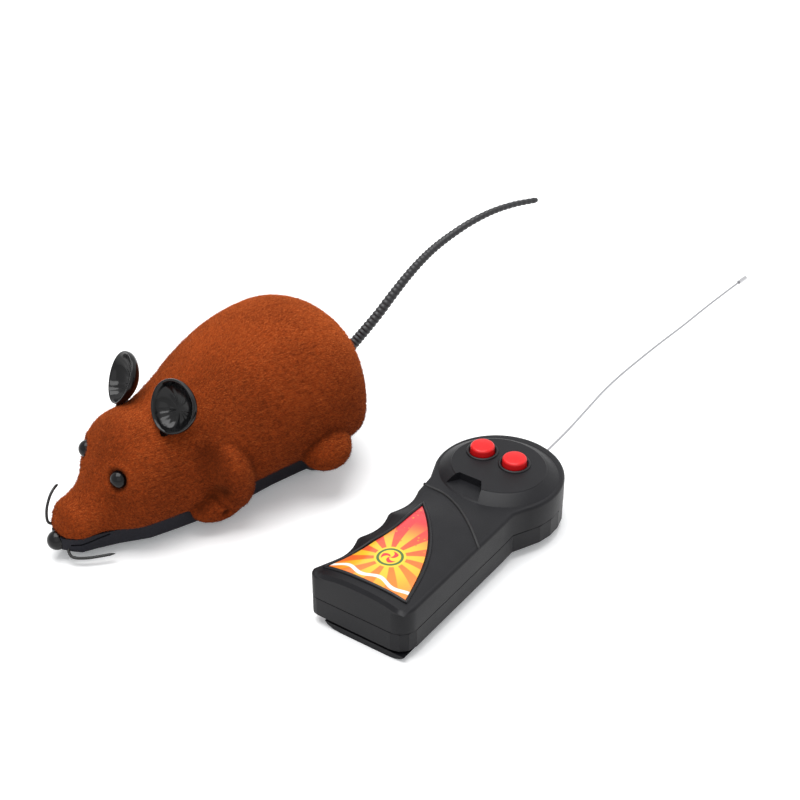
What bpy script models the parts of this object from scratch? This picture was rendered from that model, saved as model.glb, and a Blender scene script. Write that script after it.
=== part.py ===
"""Radio controlled toy mouse for cats, with the two-button remote control that drives it.

The mouse faces -X. Its pieces are placed from the tip of its snout, on the floor, by the empty
"mouse". The remote's pieces are placed from the middle of its handle's end, on the floor, by the
empty "remote". All sizes are in metres, and +Z is up.
"""

import math

import bmesh
import bpy
from mathutils import Matrix, Vector

# Where the two halves of the set stand, as they are laid out for use
MOUSE_X = -0.156
MOUSE_Y = 0.0417
REMOTE_X = -0.0995
REMOTE_Y = -0.0540
REMOTE_TURN = math.radians(18)

# Clearances and stock used all over the set
SEAT_GAP = 0.0003
SHAFT_GAP = 0.00012
CUT_OVERRUN = 0.002
JOIN_DEPTH = 0.0006
WELD_DISTANCE = 0.00001
SCREW_RADIUS = 0.0011
SCREW_HEAD_RADIUS = 0.0021
SCREW_HEAD_HEIGHT = 0.0012
SCREW_LENGTH = 0.008
ROUND_SIDES = 20
SMALL_SIDES = 12

# Mouse body: length, width and height of the flocked shell, and its lower edge
BODY_LENGTH = 0.119
BODY_WIDTH = 0.0568
BODY_HEIGHT = 0.0655
BODY_SIDES = 26
BODY_ROUNDNESS = 2.25
BODY_WAIST_SHARE = 0.42
EDGE_FRONT = 0.0098
EDGE_REAR = 0.0125
SHELL_WALL = 0.0018
CAVITY_FIRST_RING = 4
# Each row is a section of the body: place along the length, then half width, top and underside,
# as shares of the length, of half the width and of the height
BODY_SECTION_SHARES = (
    (0.012, 0.150, 0.205, 0.095),
    (0.036, 0.253, 0.282, 0.077),
    (0.050, 0.304, 0.300, 0.065),
    (0.085, 0.335, 0.322, 0.057),
    (0.120, 0.350, 0.376, 0.060),
    (0.155, 0.447, 0.480, 0.068),
    (0.185, 0.579, 0.588, 0.072),
    (0.215, 0.661, 0.652, 0.070),
    (0.260, 0.690, 0.684, 0.059),
    (0.325, 0.701, 0.693, 0.049),
    (0.405, 0.775, 0.756, 0.062),
    (0.505, 0.891, 0.871, 0.092),
    (0.605, 0.960, 0.959, 0.120),
    (0.705, 0.993, 1.000, 0.136),
    (0.795, 1.000, 0.998, 0.138),
    (0.870, 0.960, 0.947, 0.138),
    (0.925, 0.864, 0.877, 0.140),
    (0.965, 0.695, 0.783, 0.152),
    (0.990, 0.425, 0.674, 0.205),
    (1.000, 0.163, 0.563, 0.270),
)
# Limbs moulded on the shell: centre along, out and up, then radii along, out and up,
# as shares of the length, of half the width and of the height
ARM_PLACE_SHARES = (0.530, 0.625, 0.310)
ARM_SIZE_SHARES = (0.096, 0.330, 0.240)
ARM_LEAN = math.radians(-22)
PAW_PLACE_SHARES = (0.487, 0.658, 0.140)
PAW_SIZE_SHARES = (0.092, 0.213, 0.090)
FOOT_PLACE_SHARES = (0.845, 0.680, 0.206)
FOOT_SIZE_SHARES = (0.072, 0.290, 0.131)
LIMB_SIDES = 12
LIMB_RINGS = 8

# Chassis: the lower shell, with the jaw at its front
CHASSIS_WALL = 0.0015
CHASSIS_INSET = 0.0008
BELLY_CLEARANCE = 0.0030
JAW_LIFT = 0.0022
# Place along the body and rise of the underside, as shares of the length and of the jaw's lift
CHASSIS_RISE_SHARES = (
    (0.012, 0.70),
    (0.035, 0.35),
    (0.055, 0.10),
    (0.095, 0.00),
    (0.160, 0.00),
    (0.240, 0.00),
    (0.325, 0.00),
    (0.430, 0.00),
    (0.540, 0.00),
    (0.650, 0.00),
    (0.760, 0.00),
    (0.850, 0.00),
    (0.935, 0.00),
    (0.950, 0.05),
    (0.966, 0.40),
)
CHASSIS_SOLID_RINGS = 4
CHASSIS_SIDES = 12
CHASSIS_BOXINESS = 8.0
MOUTH_SLIT = 0.0006
MOUTH_DEPTH = 0.0009
# The mouth's line: place along the body and height, as shares of the length and of the front edge
MOUTH_SHARES = ((0.030, 0.72), (0.085, 0.78), (0.135, 0.92))

# Face
NOSE_RADIUS = 0.0034
NOSE_CENTRE_BACK = 0.0013
NOSE_HEIGHT = 0.0070
NOSE_PEG_RADIUS = 0.0009
NOSE_PEG_LENGTH = 0.0065
EYE_RADIUS = 0.0031
EYE_PEG_RADIUS = 0.0011
EYE_PEG_LENGTH = 0.0025
EYE_PLACE_SHARES = (0.178, 0.380, 0.456)
# The way that an eye's peg runs into the head
EYE_LOOK = (0.45, -0.55, -0.65)
WHISKER_RADIUS = 0.0004
WHISKER_POINTS = 12
# Routes of the whiskers from their roots: along the body, out and up, as shares of the length,
# of half the width and of the front edge's height
WHISKER_LEFT_SHARES = (
    (0.0300, 0.130, 0.62),
    (0.0220, 0.190, 0.45),
    (0.0270, 0.262, 0.34),
    (0.0605, 0.370, 0.33),
    (0.1270, 0.500, 0.37),
)
WHISKER_RIGHT_SHARES = (
    (0.0235, 0.125, 1.10),
    (0.0080, 0.165, 1.22),
    (0.0137, 0.211, 1.61),
    (0.0333, 0.268, 1.95),
    (0.0534, 0.317, 2.10),
    (0.0730, 0.370, 2.11),
)

# Ears: moulded cups on pegs
EAR_HEIGHT = 0.0182
EAR_WIDTH = 0.0187
EAR_CUP_DEPTH = 0.0036
EAR_WALL = 0.0013
EAR_EGG_SHARE = 0.10
EAR_DEEP_SHARE = 0.12
EAR_PEG_RADIUS = 0.0017
EAR_PEG_LENGTH = 0.0052
# The foot of each ear along the body, out and up
EAR_LEFT_SHARES = (0.317, 0.420, 0.662)
EAR_RIGHT_SHARES = (0.285, 0.445, 0.643)
# The way out of the cup, how far the ears spread, and how a peg slants
EAR_FACING = (-0.80, 0.22, 0.42)
EAR_SPREAD = 0.25
EAR_PEG_SLANT = (1.0, -0.1)
EAR_SIDES = 20
# Rings of the cup: share of the rim's size, then depth as shares of the cup's depth and the wall
EAR_RING_SHARES = (
    (0.20, 0.96, 1.00),
    (0.60, 0.64, 1.00),
    (0.88, 0.22, 1.00),
    (1.00, 0.00, 0.60),
    (0.98, 0.00, 0.00),
    (0.91, 0.02, 0.00),
    (0.84, 0.20, 0.20),
    (0.55, 0.66, 0.10),
    (0.18, 0.96, 0.00),
)

# Tail: a ribbed, tapered moulding that rises from the rump and droops at its end
TAIL_ROOT_RADIUS = 0.0022
TAIL_TIP_RADIUS = 0.0011
TAIL_TIP_SHARES = (0.8, 0.4)
TAIL_RIB_COUNT = 56
TAIL_RIB_DEPTH_SHARE = 0.14
TAIL_PLUG_LENGTH = 0.006
TAIL_CLIP_RADIUS = 0.0042
TAIL_CLIP_THICKNESS = 0.0014
# The curve that the tail follows, from its root on the shell: back along the mouse, and up
TAIL_REACH = 0.090
TAIL_RISE = 0.037
TAIL_ROOT_INSET = 0.0006
TAIL_ROOT_BACK = BODY_LENGTH - TAIL_ROOT_INSET
TAIL_ROOT_HEIGHT_SHARE = 0.5267
TAIL_ROOT_HEIGHT = TAIL_ROOT_HEIGHT_SHARE * BODY_HEIGHT
TAIL_CURVE_SHARES = (
    (0.000, 0.00),
    (0.055, 0.09),
    (0.117, 0.20),
    (0.187, 0.33),
    (0.257, 0.48),
    (0.327, 0.62),
    (0.398, 0.74),
    (0.468, 0.83),
    (0.553, 0.905),
    (0.654, 0.968),
    (0.764, 1.000),
    (0.877, 0.992),
    (1.000, 0.949),
)

# Rear drive: wheels on one axle, turned by a motor through a reduction gear
AXLE_BACK = 0.101
AXLE_RADIUS = 0.001
WHEEL_RADIUS = 0.011
WHEEL_WIDTH = 0.0040
WHEEL_OUTER_FACE = 0.0133
TYRE_THICKNESS = 0.0022
TYRE_ROUNDING = 0.0007
TYRE_SIDES = 24
HUB_WEB = 0.0014
HUB_BOSS_RADIUS = 0.0026
RIM_WALL = 0.0012
WHEEL_ROOM = 0.0011
GEAR_MODULE = 0.0005
PINION_TEETH = 10
SPUR_TEETH = 30
GEAR_BACKLASH = 0.0002
GEAR_CENTRE_SLACK = 0.0001
ADDENDUM_SHARE = 0.80
DEDENDUM_SHARE = 1.15
PRESSURE_ANGLE = math.radians(20)
BIG_GEAR_FACE = 0.0016
SMALL_GEAR_FACE = 0.0018
GEAR_SIDE_GAP = 0.0004
GEAR_PIN_RADIUS = 0.0009
AXLE_TRAIN_ANGLE = math.radians(118)
MOTOR_TRAIN_ANGLE = math.radians(62)
GEARBOX_INNER_Y = 0.0015
GEARBOX_PLATE = 0.0011
GEARBOX_FRONT_REACH = 0.0113
GEARBOX_REAR_REACH = 0.0071
GEARBOX_TOP = 0.0365
GEARBOX_POST_RADIUS = 0.0013
GEARBOX_POST_INSET = 0.0021
BUSH_RADIUS = 0.0019
BUSH_FLANGE_RADIUS = 0.0026
BUSH_FLANGE = 0.0005
BRACKET_THICKNESS = 0.0014
BRACKET_OUTER_Y = 0.0082
BRACKET_HALF_WIDTH = 0.004
BRACKET_TOP = 0.0150
MOTOR_RADIUS = 0.00775
MOTOR_FLAT = 0.006
MOTOR_LENGTH = 0.0155
MOTOR_SIDES = 24
MOTOR_BOSS_RADIUS = 0.0022
MOTOR_BOSS_HEIGHT = 0.0008
MOTOR_CAP_LENGTH = 0.0024
MOTOR_SHAFT_RADIUS = 0.00075
MOTOR_SHAFT_BURIED = 0.006
CRADLE_LEG = 0.0025
CRADLE_HALF_LENGTH = 0.007
CRADLE_BRIDGE = 0.0028
CRADLE_WIDTH = 0.0036
CRADLE_SIDE = -0.0065

# Front caster: a swivelling fork with one small wheel, in a pocket of the chassis
CASTER_BACK = 0.046
CASTER_WHEEL_RADIUS = 0.0058
CASTER_WHEEL_WIDTH = 0.005
CASTER_TRAIL = 0.0032
CASTER_PIN_RADIUS = 0.0008
CASTER_BOSS_RADIUS = 0.0018
CASTER_TOP_ROOM = 0.0005
FORK_ARM = 0.0013
FORK_CROWN = 0.0016
FORK_CROWN_FRONT = 0.0026
FORK_SIDE_GAP = 0.0005
STEM_RADIUS = 0.0018
STEM_HEAD_RADIUS = 0.0026
STEM_HEAD = 0.001
POCKET_ROOM = 0.0009
POCKET_WALL = 0.0013

# Power: three button cells in a box in the belly, under a screwed door
CELL_RADIUS = 0.0058
CELL_THICKNESS = 0.0054
CELL_COUNT = 3
CELL_LIP = 0.0008
CELLS_FRONT = 0.0612
CELL_SPRING_SPACE = 0.0032
CONTACT_PLATE = 0.0004
CELL_SPRING_TURNS = 3
CELL_SPRING_RADIUS = 0.0024
CELL_SPRING_WIRE = 0.00025
SPRING_POINTS = 9
CELL_BOX_WALL = 0.0020
CELL_ROOM = 0.0004
DOOR_THICKNESS = 0.0014
DOOR_LEDGE = 0.0009
DOOR_SCREW_TAB = 0.0062
DOOR_PIN_RADIUS = 0.0004
DOOR_PIN_LENGTH = 0.0010
DOOR_SCREW_LENGTH = 0.0048
DOOR_SCREW_HEAD = 0.0008
DOOR_SCREW_ROOM = 0.0006
DOOR_BOSS_RADIUS = 0.0030
DOOR_BOSS_HEIGHT = 0.0068

# Receiver board and power switch
BOARD_THICKNESS = 0.0012
BOARD_FRONT = 0.053
BOARD_LENGTH = 0.033
BOARD_HALF_WIDTH = 0.0135
BOARD_HEIGHT = 0.0245
POST_RADIUS = 0.0016
POST_INSET = 0.0032
CHIP_SIZE = (0.0095, 0.0062, 0.0016)
COIL_SIZE = (0.0052, 0.0052, 0.0056)
CRYSTAL_SIZE = (0.0100, 0.0036, 0.0034)
CAPACITOR_RADIUS = 0.0022
CAPACITOR_HEIGHT = 0.0064
LEAD_RADIUS = 0.00045
SWITCH_BACK = 0.0290
SWITCH_BODY = (0.0037, 0.0085, 0.0035)
SWITCH_TRAVEL = 0.002
KNOB_SIZE = (0.0016, 0.0020)
KNOB_PROUD = 0.0012
KNOB_FLANGE = 0.0006
KNOB_FLANGE_HEIGHT = 0.0008
SHELL_POST_RADIUS = 0.0024
REAR_POST_TOP = 0.020
REAR_RIB_WIDTH = 0.0020
PAD_RADIUS = 0.0030
PAD_HEIGHT = 0.0030
SHELL_POST_PLACES = (0.0238, 0.1109)

# Remote: plan of the case, a straight handle that runs into a round head
REMOTE_LENGTH = 0.1018
HANDLE_HALF_WIDTH = 0.0180
HEAD_RADIUS = 0.0224
HEAD_OFFSET = -0.0013
HEAD_START = math.radians(238)
HEAD_END = math.radians(468)
HEAD_POINTS = 18
NECK_LENGTH = 0.0560
NECK_NEAR = (0.0625, 0.0178)
NECK_FAR = (0.0640, 0.0166)
HANDLE_FLARE = 0.0016
NEAR_CORNER = 0.006
FAR_CORNER = 0.003
CORNER_POINTS = 4
GRIP_START = 0.0070
GRIP_PITCH = 0.0163
GRIP_DEPTH = 0.0016
GRIP_TAPER = 0.0022
GRIP_COUNT = 3
GRIP_POINTS = 4
CASE_BOTTOM = 0.0026
PARTING = 0.0105
RIM_HEIGHT = 0.0198
CASE_WALL = 0.0014
CASE_ROUNDING = 0.0010
PLATFORM_HEIGHT = 0.0227
PLATFORM_BACK = 0.0792
PLATFORM_HALF_LENGTH = 0.0150
PLATFORM_HALF_WIDTH = 0.0166
PLATFORM_SKIRT = 0.0052
PLATFORM_POINTS = 24
NOTCH_FLOOR = 0.0004
NOTCH_OFFSET = 0.0030
NOTCH_DEPTH = 0.0036
NOTCH_HALF_WIDTH = 0.0040
NOTCH_FLARE = 0.0024
LABEL_RECESS = 0.0007
LABEL_THICKNESS = 0.0004
LABEL_ROOM = 0.0004
# Corners of the three-sided label along the handle and across it, and how far each side that
# starts there bows out
LABEL_CORNERS = ((0.0480, 0.0090), (0.0056, 0.0160), (0.0056, -0.0138))
LABEL_BOWS = (-0.0030, 0.0003, 0.0042)
LABEL_SIDE_POINTS = 6

# Remote: buttons and what they press
BUTTON_BACK = 0.0828
BUTTON_SPACING = 0.0129
BUTTON_OFFSET = 0.0012
BUTTON_RADIUS = 0.0042
BUTTON_PROUD = 0.0030
BUTTON_ROUNDING = 0.0009
BUTTON_FLANGE = 0.0008
BUTTON_FLANGE_HEIGHT = 0.0010
BUTTON_STEM_RADIUS = 0.0020
BUTTON_STEM_LENGTH = 0.0028
BUTTON_HOLE_GAP = 0.0003
DOME_HEIGHT = 0.0026
DOME_BASE_RADIUS = 0.0036
DOME_TOP_RADIUS = 0.0020
DOME_WALL = 0.0008
REMOTE_BOARD_THICKNESS = 0.0012
REMOTE_BOARD_FRONT = 0.0665
REMOTE_BOARD_LENGTH = 0.0275
REMOTE_BOARD_HALF_WIDTH = 0.0130
REMOTE_CHIP_SIZE = (0.0085, 0.0062, 0.0016)

# Remote: aerial
AERIAL_RADIUS = 0.0004
AERIAL_BEAD_RADIUS = 0.0009
AERIAL_BEAD_LENGTH = 0.0060
AERIAL_POINTS = 26
AERIAL_ROOT = 0.0952
AERIAL_SIDE = -0.0042
AERIAL_HEIGHT = 0.0134
AERIAL_REACH = 0.1730
AERIAL_RISE = 0.0037
AERIAL_BOSS_RADIUS = 0.0016
AERIAL_BOSS_LENGTH = 0.0042
# The curve of the wire from its root: along the remote, and up, as shares of its reach and rise
AERIAL_CURVE_SHARES = (
    (0.000, 0.00),
    (0.055, 0.02),
    (0.145, 0.16),
    (0.235, 0.62),
    (0.290, 0.92),
    (0.355, 1.00),
    (0.430, 0.84),
    (0.547, 0.43),
    (0.670, -0.14),
    (0.798, -0.60),
    (0.930, -1.20),
    (1.000, -1.60),
)

# Remote: two cells in the handle, over a sliding door that bulges from the underside
AA_RADIUS = 0.00715
AA_LENGTH = 0.0495
AA_TIP_RADIUS = 0.0026
AA_TIP_LENGTH = 0.0011
AA_FRONT = 0.0058
AA_SIDES = 16
AA_SIDE_ROOM = 0.0003
AA_OFFSET = -0.0016
AA_FLOOR_GAP = 0.0004
AA_SPRING_TURNS = 2
AA_SPRING_RADIUS = 0.0026
AA_SPRING_WIRE = 0.00030
AA_SPRING_SPACE = 0.0028
BRIDGE_FRONT = 0.0024
BRIDGE_BUMP_RADIUS = 0.0014
OPENING_FRONT = 0.0036
OPENING_HALF_WIDTH = 0.01475
PARTITION_TOP = 0.0088
REMOTE_DOOR_FRONT = 0.0004
REMOTE_DOOR_LENGTH = 0.0590
REMOTE_DOOR_HALF_WIDTH = 0.0154
REMOTE_DOOR_WALL = 0.0013
# Half section of the door's bulge: across, and down from its rim, as shares
DOOR_BULGE_SHARES = ((1.00, 0.00), (0.93, 0.45), (0.78, 0.85), (0.60, 1.00))
DOOR_SLIDE = 0.0026
DOOR_TAB_PLACES = (0.0220, 0.0385)
DOOR_TAB_LENGTH = 0.0022
DOOR_TAB_THICKNESS = 0.0009
DOOR_TAB_HOOK = 0.0005
REMOTE_SCREW_BACK = 0.0625
REMOTE_POST_RADIUS = 0.0024
REMOTE_PAD_HEIGHT = 0.0030

# Values that follow from the sizes above
FLOOR_TOP = BELLY_CLEARANCE + CHASSIS_WALL
AXLE_HEIGHT = WHEEL_RADIUS
SPUR_RADIUS = GEAR_MODULE * SPUR_TEETH / 2
PINION_RADIUS = GEAR_MODULE * PINION_TEETH / 2
GEAR_CENTRES = SPUR_RADIUS + PINION_RADIUS + GEAR_CENTRE_SLACK
IDLER_BACK = AXLE_BACK + GEAR_CENTRES * math.cos(AXLE_TRAIN_ANGLE)
IDLER_HEIGHT = AXLE_HEIGHT + GEAR_CENTRES * math.sin(AXLE_TRAIN_ANGLE)
MOTOR_BACK = IDLER_BACK + GEAR_CENTRES * math.cos(MOTOR_TRAIN_ANGLE)
MOTOR_HEIGHT = IDLER_HEIGHT + GEAR_CENTRES * math.sin(MOTOR_TRAIN_ANGLE)
BIG_GEAR_Y = GEARBOX_INNER_Y + GEARBOX_PLATE + GEAR_SIDE_GAP
SMALL_GEAR_Y = BIG_GEAR_Y + BIG_GEAR_FACE + GEAR_SIDE_GAP
COVER_Y = SMALL_GEAR_Y + SMALL_GEAR_FACE + GEAR_SIDE_GAP
CASTER_WHEEL_BACK = CASTER_BACK + CASTER_TRAIL
FORK_INNER_Y = CASTER_WHEEL_WIDTH / 2 + FORK_SIDE_GAP
FORK_OUTER_Y = FORK_INNER_Y + FORK_ARM
CROWN_LOW = 2 * CASTER_WHEEL_RADIUS + CASTER_TOP_ROOM
CROWN_TOP = CROWN_LOW + FORK_CROWN
POCKET_CEILING = CROWN_TOP + SEAT_GAP
POCKET_RADIUS = math.hypot(CASTER_TRAIL + CASTER_WHEEL_RADIUS, CASTER_WHEEL_WIDTH / 2) + POCKET_ROOM
DOOR_TOP = BELLY_CLEARANCE + DOOR_THICKNESS
CELL_AXIS_HEIGHT = DOOR_TOP + CELL_ROOM + CELL_RADIUS
CELL_BOX_HALF = CELL_RADIUS + CELL_ROOM
CELL_STEP = CELL_THICKNESS + SEAT_GAP
FIRST_CELL = CELLS_FRONT + CELL_SPRING_SPACE
CELL_BOX_BACK = FIRST_CELL + CELL_COUNT * CELL_STEP + CONTACT_PLATE + SEAT_GAP
DOOR_RECESS_FRONT = CELLS_FRONT - DOOR_LEDGE
DOOR_RECESS_BACK = CELL_BOX_BACK + DOOR_SCREW_TAB
DOOR_AXIS_BACK = DOOR_RECESS_FRONT + SEAT_GAP + DOOR_THICKNESS / 2
DOOR_AXIS_HEIGHT = BELLY_CLEARANCE + DOOR_THICKNESS / 2
DOOR_SCREW_BACK = DOOR_RECESS_BACK - DOOR_SCREW_TAB / 2
HEAD_CENTRE = REMOTE_LENGTH - HEAD_RADIUS
AA_LEFT = AA_OFFSET + AA_RADIUS + AA_SIDE_ROOM
AA_RIGHT = AA_OFFSET - AA_RADIUS - AA_SIDE_ROOM
AA_HEIGHT = REMOTE_DOOR_WALL + AA_FLOOR_GAP + AA_RADIUS
CONTACT_WALL = AA_FRONT + AA_LENGTH + AA_SPRING_SPACE
PLATFORM_UNDER = PLATFORM_HEIGHT - CASE_WALL
CASE_CEILING = RIM_HEIGHT - CASE_WALL
FLANGE_TOP = PLATFORM_UNDER - SEAT_GAP
FLANGE_LOW = FLANGE_TOP - BUTTON_FLANGE_HEIGHT
STEM_LOW = FLANGE_LOW - BUTTON_STEM_LENGTH
DOME_LOW = STEM_LOW - SEAT_GAP - DOME_HEIGHT
REMOTE_BOARD_TOP = DOME_LOW - SEAT_GAP
REMOTE_BOARD_LOW = REMOTE_BOARD_TOP - REMOTE_BOARD_THICKNESS
UP = Vector((0.0, 0.0, 1.0))


def clear_scene():
    for obj in list(bpy.data.objects):
        bpy.data.objects.remove(obj, do_unlink=True)


def new_collection(name):
    collection = bpy.data.collections.new(name)
    bpy.context.scene.collection.children.link(collection)
    return collection


def new_material(name, colour, roughness, metallic=0.0):
    """A Principled material with the part's colour."""
    material = bpy.data.materials.new(name)
    material.use_nodes = True
    shader = material.node_tree.nodes["Principled BSDF"]
    shader.inputs["Base Color"].default_value = (*colour, 1.0)
    shader.inputs["Roughness"].default_value = roughness
    shader.inputs["Metallic"].default_value = metallic
    material.diffuse_color = (*colour, 1.0)
    return material


clear_scene()
PARTS = new_collection("toy_mouse_set")
CUTTERS = new_collection("cutters")
CUTTERS.hide_render = True
FLOCK = new_material("brown_flock", (0.33, 0.10, 0.025), 0.95)
BLACK = new_material("black_plastic", (0.020, 0.021, 0.024), 0.45)
GLOSS = new_material("black_gloss", (0.010, 0.010, 0.012), 0.15)
RUBBER = new_material("black_rubber", (0.015, 0.015, 0.016), 0.80)
WHITE = new_material("white_plastic", (0.80, 0.79, 0.75), 0.40)
RED = new_material("red_plastic", (0.75, 0.02, 0.02), 0.30)
STEEL = new_material("bright_steel", (0.60, 0.60, 0.62), 0.25, 1.0)
BRASS = new_material("brass", (0.72, 0.52, 0.20), 0.30, 1.0)
BOARD = new_material("circuit_board", (0.05, 0.22, 0.08), 0.50)
LABEL = new_material("label_film", (0.85, 0.25, 0.05), 0.35)


def new_empty(name, location, turn=0.0):
    empty = bpy.data.objects.new(name, None)
    empty.location = location
    empty.rotation_euler = (0.0, 0.0, turn)
    PARTS.objects.link(empty)
    return empty


MOUSE = new_empty("mouse", (MOUSE_X, MOUSE_Y, 0.0))
REMOTE = new_empty("remote", (REMOTE_X, REMOTE_Y, 0.0), REMOTE_TURN)


def solid(name, bm, material, parent, origin=(0.0, 0.0, 0.0)):
    """Makes a named piece from a bmesh that is drawn in its parent's frame."""
    bmesh.ops.recalc_face_normals(bm, faces=bm.faces)
    bmesh.ops.translate(bm, vec=-Vector(origin), verts=bm.verts)
    mesh = bpy.data.meshes.new(name)
    bm.to_mesh(mesh)
    bm.free()
    mesh.shade_smooth()
    mesh.set_sharp_from_angle(angle=math.radians(35))
    mesh.materials.append(material)
    obj = bpy.data.objects.new(name, mesh)
    obj.location = origin
    obj.parent = parent
    PARTS.objects.link(obj)
    return obj


def boolean(obj, bm, operation):
    """Cuts a shape out of a piece, or joins it on."""
    bmesh.ops.recalc_face_normals(bm, faces=bm.faces)
    mesh = bpy.data.meshes.new(obj.name + "_tool")
    bm.to_mesh(mesh)
    bm.free()
    helper = bpy.data.objects.new(obj.name + "_tool", mesh)
    helper.parent = obj.parent
    helper.hide_render = True
    helper.display_type = "WIRE"
    CUTTERS.objects.link(helper)
    modifier = obj.modifiers.new(operation.lower(), "BOOLEAN")
    modifier.operation = operation
    modifier.object = helper
    modifier.solver = "EXACT"


def cut(obj, *shapes):
    for shape in shapes:
        boolean(obj, shape, "DIFFERENCE")


def join(obj, *shapes):
    for shape in shapes:
        boolean(obj, shape, "UNION")


def box(low, high):
    """A block between two corners."""
    low, high = Vector(low), Vector(high)
    bm = bmesh.new()
    bmesh.ops.create_cube(bm, size=1)
    bmesh.ops.scale(bm, vec=high - low, verts=bm.verts)
    bmesh.ops.translate(bm, vec=(low + high) / 2, verts=bm.verts)
    return bm


def block(centre, size, low):
    """A block that stands at a height, round a place in plan."""
    half = Vector(size) / 2
    return box(
        (centre[0] - half.x, centre[1] - half.y, low),
        (centre[0] + half.x, centre[1] + half.y, low + size[2]),
    )


def rod(radius, start, end, sides=SMALL_SIDES):
    """A round bar between two points."""
    start, end = Vector(start), Vector(end)
    way = end - start
    bm = bmesh.new()
    bmesh.ops.create_cone(
        bm,
        cap_ends=True,
        segments=sides,
        radius1=radius,
        radius2=radius,
        depth=way.length,
    )
    turn = way.to_track_quat("Z", "Y").to_matrix().to_4x4()
    bmesh.ops.transform(bm, matrix=Matrix.Translation((start + end) / 2) @ turn, verts=bm.verts)
    return bm


def egg(centre, radii, lean=0.0):
    """A ball stretched to three radii and leaned about Y."""
    bm = bmesh.new()
    bmesh.ops.create_uvsphere(bm, u_segments=LIMB_SIDES, v_segments=LIMB_RINGS, radius=1)
    shape = Matrix.Diagonal((*radii, 1))
    place = Matrix.Translation(centre) @ Matrix.Rotation(lean, 4, "Y")
    bmesh.ops.transform(bm, matrix=place @ shape, verts=bm.verts)
    return bm


def skin(rings):
    """Closes a row of like rings of points into one solid."""
    bm = bmesh.new()
    rows = [[bm.verts.new(point) for point in ring] for ring in rings]
    for row, following in zip(rows, rows[1:]):
        for i, vert in enumerate(row):
            j = (i + 1) % len(row)
            bm.faces.new((vert, row[j], following[j], following[i]))
    bm.faces.new(rows[0])
    bm.faces.new(rows[-1])
    return bm


def slab(points, low, high):
    """A flat outline given thickness, from one height to another."""
    return skin([[(x, y, height) for x, y in points] for height in (low, high)])


def plate_across(points, near, far):
    """An outline in X and Z given thickness along Y."""
    return skin([[(x, across, z) for x, z in points] for across in (near, far)])


def turned(profile, foot, way, sides=ROUND_SIDES):
    """Spins a closed profile of (radius, height) about an axis that starts at foot."""
    bm = bmesh.new()
    ring = [bm.verts.new((radius, 0.0, height)) for radius, height in profile]
    edges = [bm.edges.new((a, b)) for a, b in zip(ring, ring[1:] + ring[:1])]
    bmesh.ops.spin(
        bm,
        geom=ring + edges,
        cent=(0.0, 0.0, 0.0),
        axis=(0.0, 0.0, 1.0),
        angle=2 * math.pi,
        steps=sides,
        use_merge=True,
    )
    bmesh.ops.remove_doubles(bm, verts=bm.verts, dist=WELD_DISTANCE)
    turn = Vector(way).to_track_quat("Z", "Y").to_matrix().to_4x4()
    bmesh.ops.transform(bm, matrix=Matrix.Translation(foot) @ turn, verts=bm.verts)
    return bm


def tube(name, points, radii, material, parent, resolution=2):
    """A solid wire along points, as thick as its radii say."""
    curve = bpy.data.curves.new(name, "CURVE")
    curve.dimensions = "3D"
    curve.bevel_depth = 1.0
    curve.bevel_resolution = resolution
    curve.use_fill_caps = True
    spline = curve.splines.new("POLY")
    spline.points.add(len(points) - 1)
    for spline_point, place, radius in zip(spline.points, points, radii):
        spline_point.co = (*place, 1.0)
        spline_point.radius = radius
    curve.materials.append(material)
    obj = bpy.data.objects.new(name, curve)
    obj.parent = parent
    PARTS.objects.link(obj)
    return obj


def smooth_points(points, count):
    """Evenly spaced points of a smooth curve through the given ones."""
    points = [Vector(p) for p in points]
    ends = [2 * points[0] - points[1]] + points + [2 * points[-1] - points[-2]]
    fine = []
    steps = 24
    for a, b, c, d in zip(ends, ends[1:], ends[2:], ends[3:]):
        for step in range(steps):
            t = step / steps
            bend = 2 * a - 5 * b + 4 * c - d
            twist = 3 * b - a - 3 * c + d
            fine.append((2 * b + (c - a) * t + bend * t**2 + twist * t**3) / 2)
    fine.append(points[-1])
    lengths = [0.0]
    for a, b in zip(fine, fine[1:]):
        lengths.append(lengths[-1] + (b - a).length)
    result = []
    i = 0
    for k in range(count):
        target = lengths[-1] * k / (count - 1)
        while i < len(fine) - 2 and lengths[i + 1] < target:
            i += 1
        share = (target - lengths[i]) / (lengths[i + 1] - lengths[i])
        result.append(fine[i].lerp(fine[i + 1], min(share, 1.0)))
    return result


def screw(foot, way, length, head_height):
    """A screw whose head starts at foot and whose shank runs along way."""
    profile = [
        (0.0, 0.0),
        (SCREW_HEAD_RADIUS, 0.0),
        (SCREW_HEAD_RADIUS, head_height),
        (SCREW_RADIUS, head_height),
        (SCREW_RADIUS, length - SCREW_RADIUS),
        (0.0, length),
    ]
    return turned(profile, foot, way, SMALL_SIDES)


def spring_points(turns, radius, start, end):
    """The curls of a spring that winds along X."""
    start, end = Vector(start), Vector(end)
    count = turns * SPRING_POINTS
    points = []
    for k in range(count + 1):
        angle = 2 * math.pi * k / SPRING_POINTS
        spot = start.lerp(end, k / count)
        points.append(spot + Vector((0.0, radius * math.cos(angle), radius * math.sin(angle))))
    return points


def coil_gap(points, wire):
    """Least gap between a coil's neighbouring curls."""
    return min((a - b).length for a, b in zip(points, points[SPRING_POINTS:])) - 2 * wire


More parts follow.
